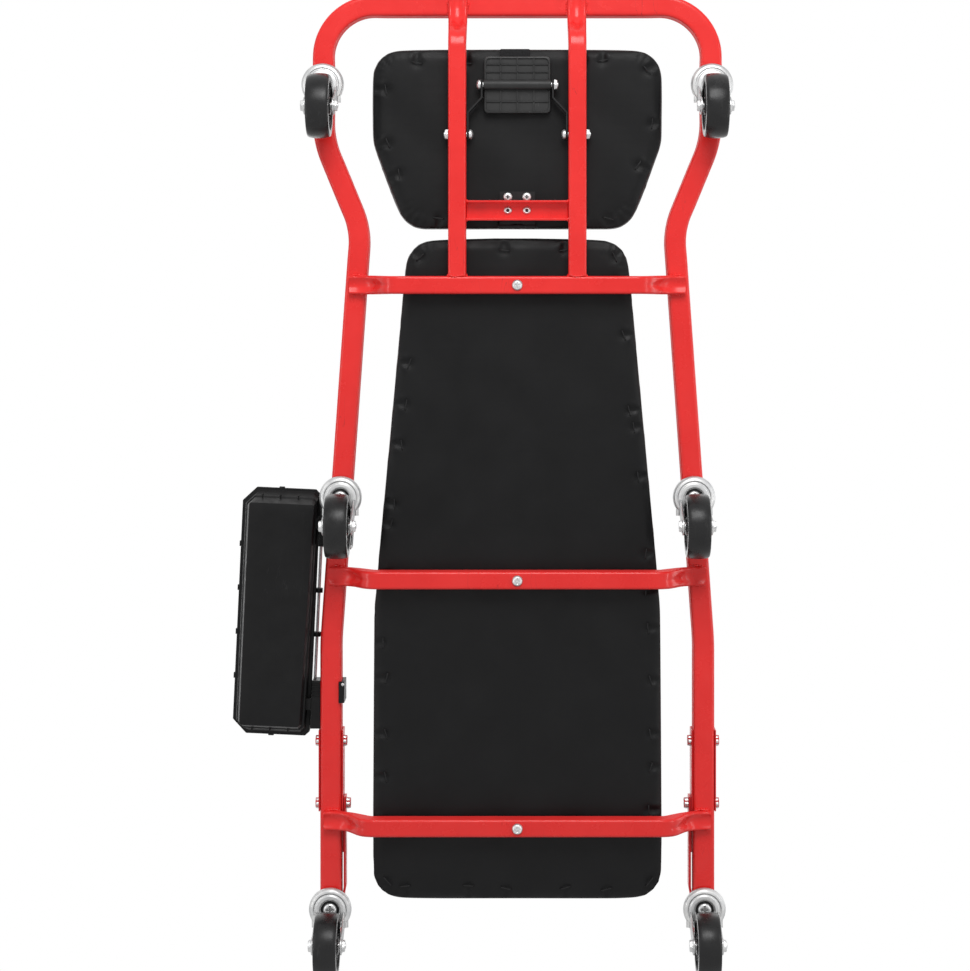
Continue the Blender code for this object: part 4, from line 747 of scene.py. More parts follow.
axle = {"nut": 0.011, "nutHeight": 0.0026, "washer": 0.0068, "washerThick": 0.0009, "washerIn": 0.0004,
        "shank": 0.004, "past": 0.0008, "point": 0.0009}


def axleParts():
    # washer, hexagon and, on one side, a short thread end outside the fork, on one shank
    face = leg["inner"] + leg["sheet"]
    reach = face + axle["past"]
    shapes = [placed(turned([(axle["shank"], -reach), (axle["shank"], reach)], 32), axis="x")]
    ring = sleeve(axle["shank"] - axle["washerIn"], axle["washer"], 0, axle["washerThick"])
    for sign, point in ((-1, 0.0), (1, axle["point"])):
        shapes.append(alongX(ring, sign, face))
        shapes.append(alongX(hexEnd(axle["nut"], axle["nutHeight"], point), sign, face + axle["washerThick"]))
    return gathered(shapes)


# shares of the head's radius, its height or the cross's reach
headForm = {"round": 0.55, "foot": 0.6, "edge": 0.97, "arm": 0.26, "armEase": 0.08, "endEase": 0.25,
            "face": 0.3}


def panHead(radius, height, cross, depth):
    # a domed head that hangs from z = 0; a cross of narrow arms is pressed into its middle
    h = headForm
    rise = np.linspace(0, 1, 14) * np.pi / 2
    dome = np.column_stack([radius * np.cos(rise) ** h["round"], -height * np.sin(rise)])
    dome[-1, 0] = radius * endForm["tip"]
    fine = np.linspace(dome[5, 0], dome[-1, 0], 30)
    top = np.column_stack([fine, np.interp(fine, dome[::-1, 0], dome[::-1, 1])])
    profile = np.concatenate([[[radius * h["foot"], 0], [radius * h["edge"], 0]], dome[:5], top])

    def crossed(angle, r, z):
        ends = np.abs(np.stack([r * np.cos(angle), r * np.sin(angle)]))
        aside, far = ends.min(0), ends.max(0)
        arm = np.clip((cross * h["arm"] - aside) / (cross * h["armEase"]), 0, 1)
        slot = arm * np.clip((cross - far) / (cross * h["endEase"]), 0, 1)
        return r, z + depth * slot * (z < -height * h["face"])

    return turned(profile, 96, crossed)


# the last three numbers place a dark ring of painted shade inside each crown's cup
stem = {"pin": 0.005, "race": 0.0205, "boss": 0.0093, "head": 0.0074, "headHeight": 0.0030, "cross": 0.0052,
        "crossDepth": 0.0016, "clear": 0.0005, "stud": 0.014, "soft": 0.0006, "headSeat": 0.0004,
        "shadeIn": 0.0006, "shadeThick": 0.0005, "shadeSeat": 0.0007}


def stemParts():
    # race under the rail, boss down to the crown, and a pan head with a cross inside the crown's cup
    s = stem
    underRail = lines["railBottom"] - lines["gap"]
    raceLow = crownTop + s["clear"]
    bossLow = crown["bottom"] + crown["back"] + s["clear"]
    headTop = crown["bottom"] + crown["cupDepth"] - s["headSeat"]
    profile = [(s["pin"], lines["railBottom"] + s["stud"]), (s["pin"], underRail), (s["race"], underRail),
               (s["race"], raceLow), (s["boss"], raceLow), (s["boss"], bossLow), (s["pin"], bossLow),
               (s["pin"], headTop)]
    head = panHead(s["head"], s["headHeight"], s["cross"], s["crossDepth"])
    return gathered([turned(softened(profile, s["soft"], 3), 64), placed(head, (0, 0, headTop))])


def makeCasters():
    # six alike, each wheel, fork and axle behind its stem; the dark rings of painted shade in the crowns'
    # cups round the heads are one piece
    wheel, axleShape, stemShape = wheelParts(), axleParts(), stemParts()
    fork = gathered([crownShape(), legShape(-1), legShape(1)])
    # cup is a dark ring of painted shade that lines each crown's recess round the king pin's head
    shadeLevel = crown["bottom"] + crown["cupDepth"] - stem["shadeSeat"]
    cup = sleeve(stem["pin"], crown["cup"] - stem["shadeIn"], shadeLevel, shadeLevel + stem["shadeThick"])
    cupShades = []
    for end in ("head", "middle", "foot"):
        for side in sides:
            name, tag = f"{end}_{side}", end + side.title()
            at = ownBox(name + "_stem")[2] * [1, 1, 0]
            hub = at + [0, trail, lines["axleZ"]]
            addPiece(tag + "Wheel", placed(wheel, hub), wheelPlastic, name + "_roller", "wheel_plastic",
                     name + "_wheel", smooth=45)
            addPiece(tag + "Fork", placed(fork, at), zincPlate, name + "_swivel", "zinc_plate",
                     name + "_fork", smooth=50)
            addPiece(tag + "Axle", placed(axleShape, hub), brightZinc, name + "_swivel", "zinc_plate",
                     name + "_axle", smooth=35)
            addPiece(tag + "Stem", placed(stemShape, at), brightZinc, "frame", "zinc_plate", name + "_stem",
                     smooth=35)
            cupShades.append(placed(cup, at))
    addPiece("casterCupShades", gathered(cupShades), darkSteel, "frame", "dark_steel")


makeCasters()
print("casters made")


padShapes = {
    "mainPad": {"neck": (0.1187, 0.2540), "hip": (0.1567, 0.652), "end": (0.1567, 0.9652), "thick": 0.035,
                "body": "frame", "nodes": ("main_cushion", "main_board"), "tight": []},
    "headPad": {"neck": (0.1566, 0.0497), "hip": (0.1566, 0.150), "end": (0.1206, 0.2438), "thick": 0.033,
                "body": "headrest", "nodes": ("head_cushion", "head_board"), "tight": [0.2438]},
}
# levels pair the depth inside the outline with the share of the thickness, rises with that of the crown
padMake = {"corner": 0.029, "leastCorner": 0.002, "step": 0.001, "points": 180, "crown": 0.006,
           "levels": [(0.060, 0.0), (0.020, 0.0), (0.0075, 0.0), (0.0040, 0.03), (0.0020, 0.11),
                      (0.0008, 0.25), (0.0002, 0.45), (0.0014, 0.66), (0.0040, 0.82), (0.0080, 0.93),
                      (0.0140, 1.0)],
           "rises": [(0.028, 0.5), (0.050, 0.85), (0.075, 1.0)],
           "voxel": 0.0048, "pressure": 3.0, "stiffness": 25, "frames": 14, "cap": 0.0045, "held": 0.004,
           "tightFrom": 0.030, "tightRun": 0.020}


def padCorners(pad):
    # the outline's six corners, the right side and then the left
    right = np.array([pad["neck"], pad["hip"], pad["end"]])
    return np.concatenate([right, (right * [-1, 1])[::-1]])


def insetOutline(corners, depth, corner, count):
    # a convex outline moved in by depth, corners as arcs, then count points at equal steps along it
    along = unit(np.roll(corners, -1, 0) - corners)
    base = corners + depth * np.column_stack([-along[:, 1], along[:, 0]])
    p, d, q, e = np.roll(base, 1, 0), np.roll(along, 1, 0), base, along
    crossed = lambda a, b: a[:, 0] * b[:, 1] - a[:, 1] * b[:, 0]
    places = p + d * (crossed(q - p, e) / crossed(d, e))[:, None]
    middle = (places[-1:] + places[:1]) / 2
    loop = np.concatenate([middle, places, middle])
    corner = max(corner - depth, padMake["leastCorner"])
    return evened(filletLine(loop, [corner] * len(places), padMake["step"]), count=count)


def padForm(pad):
    # rings from the underside's middle over the drawn-in foot, full sides and round shoulders to the crown
    m, t, low, corners = padMake, pad["thick"], lines["padBottom"], padCorners(pad)
    heights = [(depth, low + t * share) for depth, share in m["levels"]]
    heights += [(depth, low + t + m["crown"] * share) for depth, share in m["rises"]]
    rings = [atHeight(insetOutline(corners, depth, m["corner"], m["points"]), z) for depth, z in heights]
    return lofted(np.array(rings))


def evaluated(piece):
    # a new mesh of the piece with its modifiers applied
    graph = bpy.context.evaluated_depsgraph_get()
    return bpy.data.meshes.new_from_object(piece.evaluated_get(graph))


def pointsOf(mesh):
    # the mesh's points as one array
    flat = np.empty(len(mesh.vertices) * 3)
    mesh.vertices.foreach_get("co", flat)
    return flat.reshape(-1, 3)


def swollen(piece, rest):
    # the cover after cloth has settled under inner pressure, with its underside held
    held = piece.vertex_groups.new(name="held")
    held.add(np.flatnonzero(rest[:, 2] < rest[:, 2].min() + padMake["held"]).tolist(), 1.0, "REPLACE")
    cloth = piece.modifiers.new("cover", "CLOTH")
    cloth.settings.use_pressure = True
    cloth.settings.uniform_pressure_force = padMake["pressure"]
    cloth.settings.effector_weights.gravity = 0
    cloth.settings.vertex_group_mass = "held"
    cloth.settings.tension_stiffness = cloth.settings.compression_stiffness = padMake["stiffness"]
    cloth.point_cache.frame_start, cloth.point_cache.frame_end = 1, padMake["frames"]
    for step in range(1, padMake["frames"] + 1):
        bpy.context.scene.frame_set(step)
    settled = pointsOf(evaluated(piece))
    piece.modifiers.clear()
    bpy.context.scene.frame_set(1)
    return settled


def inflate(piece, pad):
    # voxel skin, then cloth; no point moves further than the cap, and a side that turns past its neighbour
    # keeps its first line
    remesh = piece.modifiers.new("voxels", "REMESH")
    remesh.mode, remesh.voxel_size = "VOXEL", padMake["voxel"]
    piece.data = evaluated(piece)
    piece.modifiers.clear()
    rest = pointsOf(piece.data)
    move = swollen(piece, rest) - rest
    far = np.linalg.norm(move, axis=1)[:, None]
    move *= np.minimum(1, padMake["cap"] / np.maximum(far, 1e-9))
    for edge in pad["tight"]:
        past = rest[:, 1] - shift[1] - edge + padMake["tightFrom"]
        move[:, 1] *= 1 - np.clip(past / padMake["tightRun"], 0, 1)
    piece.data.vertices.foreach_set("co", (rest + move).ravel())
    finer = piece.modifiers.new("finer", "SUBSURF")
    finer.levels = finer.render_levels = 1
    piece.data = evaluated(piece)
    piece.modifiers.clear()


tack = {"inset": 0.0135, "gap": 0.050, "points": 2000, "span": 4, "uneven": 0.38, "slant": 0.3,
        "drift": (-0.002, 0.003)}


def tackPlaces(pad, seed):
    # staples along a line inside the edge, unevenly spaced, each at its own slant
    luck, points, span = np.random.default_rng(seed), tack["points"], tack["span"]
    line = insetOutline(padCorners(pad), tack["inset"], padMake["corner"], points)
    length = np.linalg.norm(np.diff(line, axis=0, append=line[:1]), axis=1).sum()
    count = int(length / tack["gap"])
    along = np.arange(count) + luck.uniform(-tack["uneven"], tack["uneven"], count)
    index = (along / count * points).astype(int) % points
    ahead = line[(index + span) % points] - line[index - span]
    slant = np.arctan2(ahead[:, 1], ahead[:, 0]) + luck.uniform(-tack["slant"], tack["slant"], count)
    inward = unit(np.column_stack([-ahead[:, 1], ahead[:, 0]]))
    spots = line[index] + inward * luck.uniform(*tack["drift"], count)[:, None]
    return spots, slant, inward


# depths and reaches of the cloth's folds; a pleat's fan is in radians, its centre in corner radii
gathers = {"pleats": 10, "pleatLift": 0.0018, "pleatCentre": 1.45, "pleatFan": 0.9, "pleatStart": 0.010,
           "blunt": -0.8, "slack": 0.0008, "dimple": 0.0022, "dimpleWide": 0.0048, "fold": 0.0017,
           "foldWide": 0.0026, "foldStart": 0.005, "foldEnd": 0.02, "ridge": 0.0009, "ridgeOff": 0.006,
           "ridgeWide": 0.0034, "wave": 0.0007, "turns": (61, 23, 37, 19), "most": 0.0034, "underTop": 0.0045,
           "underRun": 0.003, "clothTop": 0.0050, "clothRun": 0.002}


def pleats(pad, flat):
    # folds that fan out from each corner's centre, sharp on one side, growing towards the edge
    g, corners = gathers, padCorners(pad)
    lift = np.zeros(len(flat))
    for corner, before, after in zip(corners, np.roll(corners, 1, 0), np.roll(corners, -1, 0)):
        back, on = unit(before - corner), unit(after - corner)
        if back @ on < g["blunt"]:
            continue
        inwards = unit(back + on)
        away = flat - (corner + inwards * padMake["corner"] * g["pleatCentre"])
        turn = np.arctan2(away[:, 1] * inwards[0] - away[:, 0] * inwards[1], -away @ inwards)
        grown = np.clip(np.linalg.norm(away, axis=1) / g["pleatStart"] - 1, 0, 1)
        fan = np.clip(1 - (turn / g["pleatFan"]) ** 2, 0, 1) * grown
        lift += fan * ((turn * g["pleats"] / np.pi) % 1) ** 2 * g["pleatLift"]
    return lift


def pucker(piece, pad, spots, inward):
    # underside: a dimple at each staple, a fold from it out to the edge, pleats at the corners, uneven cloth
    g, low = gathers, lines["padBottom"]
    co = pointsOf(piece.data)
    local = co - shift
    under = np.clip((low + g["underTop"] - local[:, 2]) / g["underRun"], 0, 1)
    near = np.flatnonzero(under > 0)
    away = local[near, None, :2] - spots[None]
    outwards = -(away * inward[None]).sum(2)
    beside = np.abs(away[..., 0] * inward[None, :, 1] - away[..., 1] * inward[None, :, 0])
    dimple = np.exp(-(away ** 2).sum(2) / g["dimpleWide"] ** 2).sum(1) * g["dimple"]
    past = np.clip(outwards / g["foldStart"], 0, 1) * (outwards < g["foldEnd"])
    fold = (np.exp(-(beside / g["foldWide"]) ** 2) * past).sum(1) * g["fold"]
    ridge = (np.exp(-((beside - g["ridgeOff"]) / g["ridgeWide"]) ** 2) * past).sum(1) * g["ridge"]
    x, y = local[near, 0], local[near, 1]
    a, b, c, d = g["turns"]
    wave = g["wave"] * (1 + np.sin(x * a + 2.0 * np.sin(y * b)) * np.sin(y * c + 1.3 + np.sin(x * d)))
    lift = g["slack"] + dimple + fold - ridge + wave + pleats(pad, local[near, :2])
    co[near, 2] += np.clip(lift, 0, g["most"]) * under[near]
    co[:, 2] = np.maximum(co[:, 2], low)
    piece.data.vertices.foreach_set("co", co.ravel())
    tag = piece.data.attributes.new("under", "FLOAT", "POINT")
    cloth = np.clip((low + g["clothTop"] - local[:, 2]) / g["clothRun"], 0, 1)
    tag.data.foreach_set("value", cloth.astype(np.float32))
    piece.data.shade_smooth()
    piece.data.update()


staple = {"length": 0.0105, "thick": 0.0011, "stand": 0.0002, "turnIn": 0.0016, "bend": 0.0008, "sides": 6}


def makeStaples(name, pad, spots, slants):
    # short flat wires with turned-in ends, one to each place
    half, r, rise = staple["length"] / 2, staple["thick"] / 2, staple["turnIn"]
    line = softened([(-half, 0, rise), (-half, 0, 0), (half, 0, 0), (half, 0, rise)], staple["bend"], 2)
    turn = np.linspace(0, 2 * np.pi, staple["sides"], endpoint=False)
    points, faces = carried(line, r * np.column_stack([np.cos(turn), np.sin(turn)])[None], (0, 1, 0))
    c, s = np.cos(slants)[:, None], np.sin(slants)[:, None]
    x, y = points[None, :, 0], points[None, :, 1]
    z = np.repeat(points[None, :, 2], len(spots), 0) + lines["padBottom"] + r - staple["stand"]
    every = np.stack([spots[:, :1] + c * x - s * y, spots[:, 1:] + s * x + c * y, z], -1)
    addPiece(name, gathered([(one, faces) for one in every]), darkSteel, pad["body"], "dark_steel", smooth=60)


def makePads():
    # each pad takes the place of its cushion and board
    for seed, (name, pad) in enumerate(padShapes.items()):
        piece = newObject(name, meshOf(name, padForm(pad), 180))
        inflate(piece, pad)
        spots, slants, inward = tackPlaces(pad, seed + 11)
        pucker(piece, pad, spots, inward)
        piece.data.materials.clear()
        piece.data.materials.append(padVinyl)
        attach(piece, pad["body"])
        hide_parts(*pad["nodes"])
        makeStaples(name + "Staples", pad, spots, slants)
        print(name, "has", len(piece.data.polygons), "faces and", len(spots), "staples")


pullTab = {"width": 0.032, "stand": 0.0004, "hold": 0.010, "thick": 0.0024, "lift": 0.0012, "x": -0.0025,
           "ease": 0.0008}


def makePullTab():
    # a folded strip of webbing that stands out from under the head pad's edge
    t = pullTab
    edge, low = padShapes["headPad"]["neck"][1], lines["padBottom"] + t["lift"]
    strip = blockShape((t["x"] - t["width"] / 2, edge - t["stand"], low),
                       (t["x"] + t["width"] / 2, edge + t["hold"], low + t["thick"]), t["ease"])
    addPiece("pullTab", strip, webbing, "headrest", "black_vinyl")


makePads()
makePullTab()


padScrew = {"head": 0.0058, "height": 0.0037, "cross": 0.0034, "crossDepth": 0.0010, "shank": 0.003,
            "gap": 0.0001}


def makePadScrews():
    # pan heads under the crossbars' middles, shanks up into the board
    s = padScrew
    low = lines["barBottom"] - s["gap"]
    head = placed(panHead(s["head"], s["height"], s["cross"], s["crossDepth"]), (0, 0, low))
    for name, y in barY.items():
        top = boxOf(name + "_pad_screw")[1][2]
        shank = turned([(s["shank"], low), (s["shank"], top)], 24)
        screw = placed(gathered([shank, head]), (0, y, 0))
        addPiece(name + "PadScrew", screw, brightZinc, "frame", "zinc_plate", name + "_pad_screw", smooth=35)


# plug is the thickness of the dark disc of painted shade in each rivet's bore, not a real plug
hingeSet = {"x": 0.0102, "screwY": 0.2088, "rivetY": 0.2234, "screwSeat": 0.0016, "rivetSeat": 0.0069,
            "screw": 0.0050, "screwHeight": 0.0024, "cross": 0.0025, "crossDepth": 0.0005, "rivet": 0.0043,
            "rivetHeight": 0.0017, "hollow": 0.0016, "wall": 0.0008, "edge": 0.0004, "plug": 0.0003,
            "shadeDiscShare": 0.7, "wellShare": 0.8, "shoulder": (0.7, 0.85)}


def makeHingeFasteners():
    # cross-headed screws in the moving leaf; hollow rivets through the channel and the fixed leaf, with a
    # dark disc of painted shade down in each rivet's bore
    h = hingeSet
    head = panHead(h["screw"], h["screwHeight"], h["cross"], h["crossDepth"])
    tall, hole, edge, wide = h["rivetHeight"], h["hollow"], h["edge"], h["rivet"]
    shoulder = (wide * h["shoulder"][0], -tall * h["shoulder"][1])
    ring = [(hole, 0.0), (hole, -tall * h["wellShare"]), (hole + h["wall"], -tall), shoulder,
            (wide, -edge), (wide, 0.0), (hole, 0.0)]
    rivet = turned(softened(ring, edge, 3)[:-1], 48, closed=True)
    # a dark disc set down in the rivet's bore: painted shade of the hollow
    shadeDiscLow = -tall * h["shadeDiscShare"]
    hollow = sleeve(edge / 4, hole + edge / 2, shadeDiscLow, shadeDiscLow + h["plug"])
    low = lines["padBottom"]
    screwAt = [(sign * h["x"], h["screwY"], low - h["screwSeat"]) for sign in (-1, 1)]
    rivetAt = [(sign * h["x"], h["rivetY"], low - h["rivetSeat"]) for sign in (-1, 1)]
    screws = gathered([placed(head, at) for at in screwAt])
    rivets = gathered([placed(rivet, at) for at in rivetAt])
    boreShades = gathered([placed(hollow, at) for at in rivetAt])
    addPiece("hingeScrews", screws, brightZinc, "headrest", "zinc_plate", smooth=35)
    addPiece("hingeRivets", rivets, brightZinc, "frame", "zinc_plate", smooth=35)
    addPiece("rivetBoreShades", boreShades, darkSteel, "frame", "dark_steel")


propEnds = {"nut": 0.0100, "nutShare": 0.75, "dome": 0.0052, "shank": 0.003, "inset": 0.001, "arm": 0.0031,
            "rodEnd": 0.0045}


def boltParts(low, high, inner, outer, domeAtHigh):
    # a shank along x from low to high, with a dome beyond one of the two faces and a nut beyond the other
    p = propEnds
    shank = turned([(p["shank"], low + p["inset"]), (p["shank"], high - p["inset"])], 24)
    shapes = [placed(shank, axis="x")]
    for way, start, room in ((-1, inner, inner - low), (1, outer, high - outer)):
        isDome = (way > 0) == domeAtHigh
        thick = p["nutShare"] * room
        end = domeEnd(p["dome"], room) if isDome else hexEnd(p["nut"], thick, room - thick)
        shapes.append(alongX(end, way, way * start))
    return gathered(shapes)


def makePropFasteners():
    # pivot bolts with nuts outside the headrest tubes and domes inside; the rod between the arms has both
    outside = headrestX + lines["barSize"] / 2 + lines["gap"]
    inside = headrestX - lines["barSize"] / 2 - propEnds["arm"]
    for side, sign in sides.items():
        low, high, mid = ownBox(side + "_prop_bolt")
        inner, outer = sorted((sign * outside, sign * inside))
        shape = boltParts(low[0], high[0], inner, outer, sign < 0)
        addPiece(side + "PropBolt", placed(shape, (0, mid[1], mid[2])), brightZinc, "frame", "zinc_plate",
                 side + "_prop_bolt", smooth=35)
    low, high, mid = ownBox("prop_rod")
    reach = high[0] - propEnds["rodEnd"]
    shape = boltParts(low[0], high[0], -reach, reach, False)
    rod = placed(shape, (0, mid[1], mid[2]))
    addPiece("propRod", rod, brightZinc, "prop_frame", "zinc_plate", "prop_rod", smooth=35)


plate = {"width": 0.071, "length": 0.0606, "thick": 0.008, "corner": 0.0042, "rim": 0.0022, "rib": 0.0016,
         "pocket": 0.0017, "columns": 4, "ahead": 3, "behind": 2, "barrel": 0.0055, "bore": 0.0034,
         "stand": 0.0008, "ease": 0.0008, "round": 0.0012, "turn": 0.0004, "soft": 0.0005, "middle": 0.012}


def makePropPlate():
    # a slab with round corners and a rim, shallow pockets between its ribs, and a barrel for the rod
    p = plate
    high, (y, rodZ) = ownBox("prop_plate")[1][2], ownBox("prop_rod")[2][1:]
    low = high - p["thick"]
    floor = low + p["pocket"]
    ease, curve, turn = p["ease"], p["round"], p["turn"]
    levels = np.array([(p["middle"], high), (ease, high), (0, high - ease), (0, low + curve),
                       (curve / 4, low + curve / 4), (curve, low), (p["rim"] - turn, low),
                       (p["rim"], low + turn), (p["rim"] + turn / 2, floor), (p["middle"], floor)])
    inset, z = levels[:, 0], levels[:, 1]
    rings = tubeSections(p["width"] - 2 * inset, p["length"] - 2 * inset, p["corner"], steps=6, between=1)
    z = np.repeat(z[:, None], rings.shape[1], 1)
    shapes = [lofted(np.stack([rings[..., 0], y + rings[..., 1], z], -1))]
    half, reach, r = p["length"] / 2, p["width"] / 2, p["rib"] / 2
    long, wide, top = half - p["rim"] / 2, reach - p["rim"] / 2, floor + r
    for x in np.linspace(-reach, reach, p["columns"] + 1)[1:-1]:
        shapes.append(blockShape((x - r, y - long, low), (x + r, y + long, top)))
    for way, rows in ((-1, p["ahead"]), (1, p["behind"])):
        for at in y + way * (p["barrel"] + (half - p["barrel"]) * np.arange(1, rows) / rows):
            shapes.append(blockShape((-wide, at - r, low), (wide, at + r, top)))
    end = reach + p["stand"]
    barrel = sleeve(p["bore"], p["barrel"], -end, end, p["soft"], count=48)
    shapes.append(placed(barrel, (0, y, rodZ), "x"))
    shape = gathered(shapes)
    addPiece("propPlate", shape, platePlastic, "prop_block", "black_plastic", "prop_plate", smooth=35)


spliceNuts = {"width": 0.0106, "thick": 0.0038, "point": 0.0010, "reach": 0.0340, "outer": 0.01265,
              "stay": 0.0165}


def makeSpliceNuts():
    # plated nuts over the splice bolts, on both sides of each rail; behind the joint the stay lies under one
    s = spliceNuts
    nut = hexEnd(s["width"], s["thick"], s["point"])
    shapes = []
    for sign in (-1, 1):
        for step, inner in ((-1, s["outer"]), (1, s["stay"])):
            place = (sign * tailMid[0], tailLow[1] + step * s["reach"], railZ)
            shapes += [placed(alongX(nut, sign, s["outer"]), place), placed(alongX(nut, -sign, inner), place)]
    addPiece("spliceNuts", gathered(shapes), zincPlate, "frame", "zinc_plate", smooth=35)


makePadScrews()
makeHingeFasteners()
makePropFasteners()
makePropPlate()
makeSpliceNuts()
print("fasteners made")


rodMid = ownBox("tray_rod")[2]
trayShape = {"lean": 0.0458, "skew": 0.022, "edge": 0.0026, "width": 0.0845, "length": 0.269,
             "rimDrop": 0.002, "depth": 0.031, "lip": 0.003, "lipHeight": 0.004, "wall": 0.002,
             "rimCuts": (0.015, 0.005), "ledgeCuts": (0.009, 0.004), "floorCuts": (0.002, 0.002),
             "floor": (0.0065, 0.0100, 0.0140), "ledgeShare": (0.45, 0.40, 0.50), "ledgeDrop": 0.0110,
             "tabCount": 4, "tabPitch": 0.048, "tabLength": 0.006,
             "tabStand": 0.0014, "knuckle": 0.0042, "knuckleBore": 0.0024, "knuckleLength": 0.005,
             "heelDrop": 0.009, "heelHeight": 0.007, "heelLength": 0.012, "heelStart": 0.0018,
             "ribPitch": 0.0195, "ribHalf": 0.0005, "ribIn": (0.0125, 0.0060), "ribDrop": (0.0150, 0.0060),
             "shy": 0.0003, "knuckleWall": 0.0006}
# each ring of the shell: the line it follows, how far inside it, the level it is near, how far above that
trayRings = [("base", 0.0120, "floor", 0), ("base", 0.0012, "floor", 0), ("base", 0.0003, "floor", 0.0003),
             ("base", 0, "floor", 0.0012), ("ledge", 0.0008, "step", -0.0005), ("ledge", -0.0004, "step", 0),
             ("ledge", -0.0008, "step", 0.0012), ("lip", 0.0004, "under", -0.0006),
             ("lip", -0.0004, "under", 0), ("edge", 0.0005, "under", 0), ("edge", 0, "under", 0.0005),
             ("edge", 0, "rim", -0.0005), ("edge", 0.0005, "rim", 0), ("mouth", -0.0006, "rim", 0),
             ("mouth", 0, "rim", -0.0006), ("inner", 0, "inner", 0.0030), ("inner", 0.0026, "inner", 0.0002),
             ("inner", 0.0120, "inner", 0)]


def trayOutline(insets, cuts, corner=0.0010):
    # the rim's outline with its near, far and end sides moved in and its corners cut, then softened; the near
    # side turns a little as it moves in
    t = trayShape
    near, far = t["edge"] + insets[0], t["edge"] + t["width"] - insets[1]
    half = t["length"] / 2 - insets[2]
    f, n = cuts
    outline = np.array([(near + n, -half), (far - f, -half), (far, -half + f), (far, half - f),
                        (far - f, half), (near + n, half), (near, half - n), (near, -half + n)])
    nearSide = [0, 5, 6, 7]
    outline[nearSide, 0] -= outline[nearSide, 1] * t["skew"] * min(insets[0] / t["floor"][0], 1)
    middle = (outline[-1:] + outline[:1]) / 2
    return softened(np.concatenate([middle, outline, middle]), corner, 4)[:-1]


def trayPlace(shape):
    # from the rod's own frame, x outwards and y to the head, to the creeper's
    ahead = np.array([trayShape["lean"], -np.sqrt(1 - trayShape["lean"] ** 2), 0.0])
    turn = np.stack([np.cross(ahead, [0, 0, 1.0]), ahead, [0, 0, 1.0]])
    return rodMid + np.asarray(shape[0]) @ turn, shape[1]


def trayShell():
    # one skin from the floor panel up the stepped outer wall, over the lip and down inside to the floor again
    t = trayShape
    base, lip, wall = np.array(t["floor"]), np.full(3, t["lip"]), t["wall"]
    insets = {"base": base, "ledge": lip + (base - lip) * t["ledgeShare"], "lip": lip, "edge": np.zeros(3),
              "mouth": lip + wall, "inner": base + wall}
    cuts = {"base": t["floorCuts"], "ledge": t["ledgeCuts"], "inner": t["floorCuts"]}
    levels = {"rim": -t["rimDrop"]}
    levels["floor"], levels["under"] = levels["rim"] - t["depth"], levels["rim"] - t["lipHeight"]
    levels["inner"], levels["step"] = levels["floor"] + wall, levels["under"] - t["ledgeDrop"]
    rings = []
    for line, inside, level, above in trayRings:
        outline = trayOutline(insets[line] + inside, cuts.get(line, t["rimCuts"]))
        rings.append(atHeight(outline, levels[level] + above))
    return lofted(np.array(rings))


def trayExtras():
    # tabs on the lip, ribs on the end walls, knuckles on the rod and the heels that stop the fold
    t = trayShape
    rim = -t["rimDrop"]
    under = rim - t["lipHeight"]
    far, half = t["edge"] + t["width"], t["length"] / 2
    middle, tab = t["edge"] + t["width"] / 2, t["tabLength"] / 2
    tabLow, tabHigh = under + t["shy"], rim - t["shy"]
    long = t["knuckleLength"] / 2
    knuckle = sleeve(t["knuckleBore"], t["knuckle"], -long, long, steps=2, count=32)
    shapes = []
    for y in (np.arange(t["tabCount"]) - (t["tabCount"] - 1) / 2) * t["tabPitch"]:
        shapes.append(blockShape((far - t["lip"], y - tab, tabLow), (far + t["tabStand"], y + tab, tabHigh)))
    for sign in (-1, 1):
        ends = sorted((sign * (half - t["lip"]), sign * (half + t["tabStand"])))
        shapes.append(blockShape((middle - tab, ends[0], tabLow), (middle + tab, ends[1], tabHigh)))
        ends = sorted(sign * (half - inside) for inside in t["ribIn"])
        ribLow, ribHigh = (under - drop for drop in t["ribDrop"])
        wide = t["ribHalf"]
        for x in middle + np.array([-1, 0, 1]) * t["ribPitch"]:
            shapes.append(blockShape((x - wide, ends[0], ribLow), (x + wide, ends[1], ribHigh)))
        y = sign * t["tabPitch"] / 2
        shapes.append(placed(knuckle, (0, y, 0), "y"))
        shapes.append(blockShape((t["knuckleBore"] + t["knuckleWall"], y - long, -t["knuckle"]),
                                 (t["edge"] + t["lip"], y + long, tabHigh)))
    for clip in ("front_tray_clip", "rear_tray_clip"):
        y, long = rodMid[1] - ownBox(clip)[2][1], t["heelLength"] / 2
        shapes.append(blockShape((t["heelStart"], y - long, -t["heelDrop"] - t["heelHeight"]),
                                 (t["edge"] + t["lip"] + t["wall"], y + long, -t["heelDrop"])))
    return shapes


clipSet = {"ribs": 4, "pitch": 0.0040, "thick": 0.0014, "stand": 0.0012, "sink": 0.0010,
           "reach": (0.0125, 0.0205), "inset": 0.004, "block": 0.0200, "screw": 0.0017, "screwHeight": 0.0010,
           "cross": 0.0011, "crossDepth": 0.0005, "screwIn": 0.0028, "screwOff": 0.0016, "lip": 0.0023}


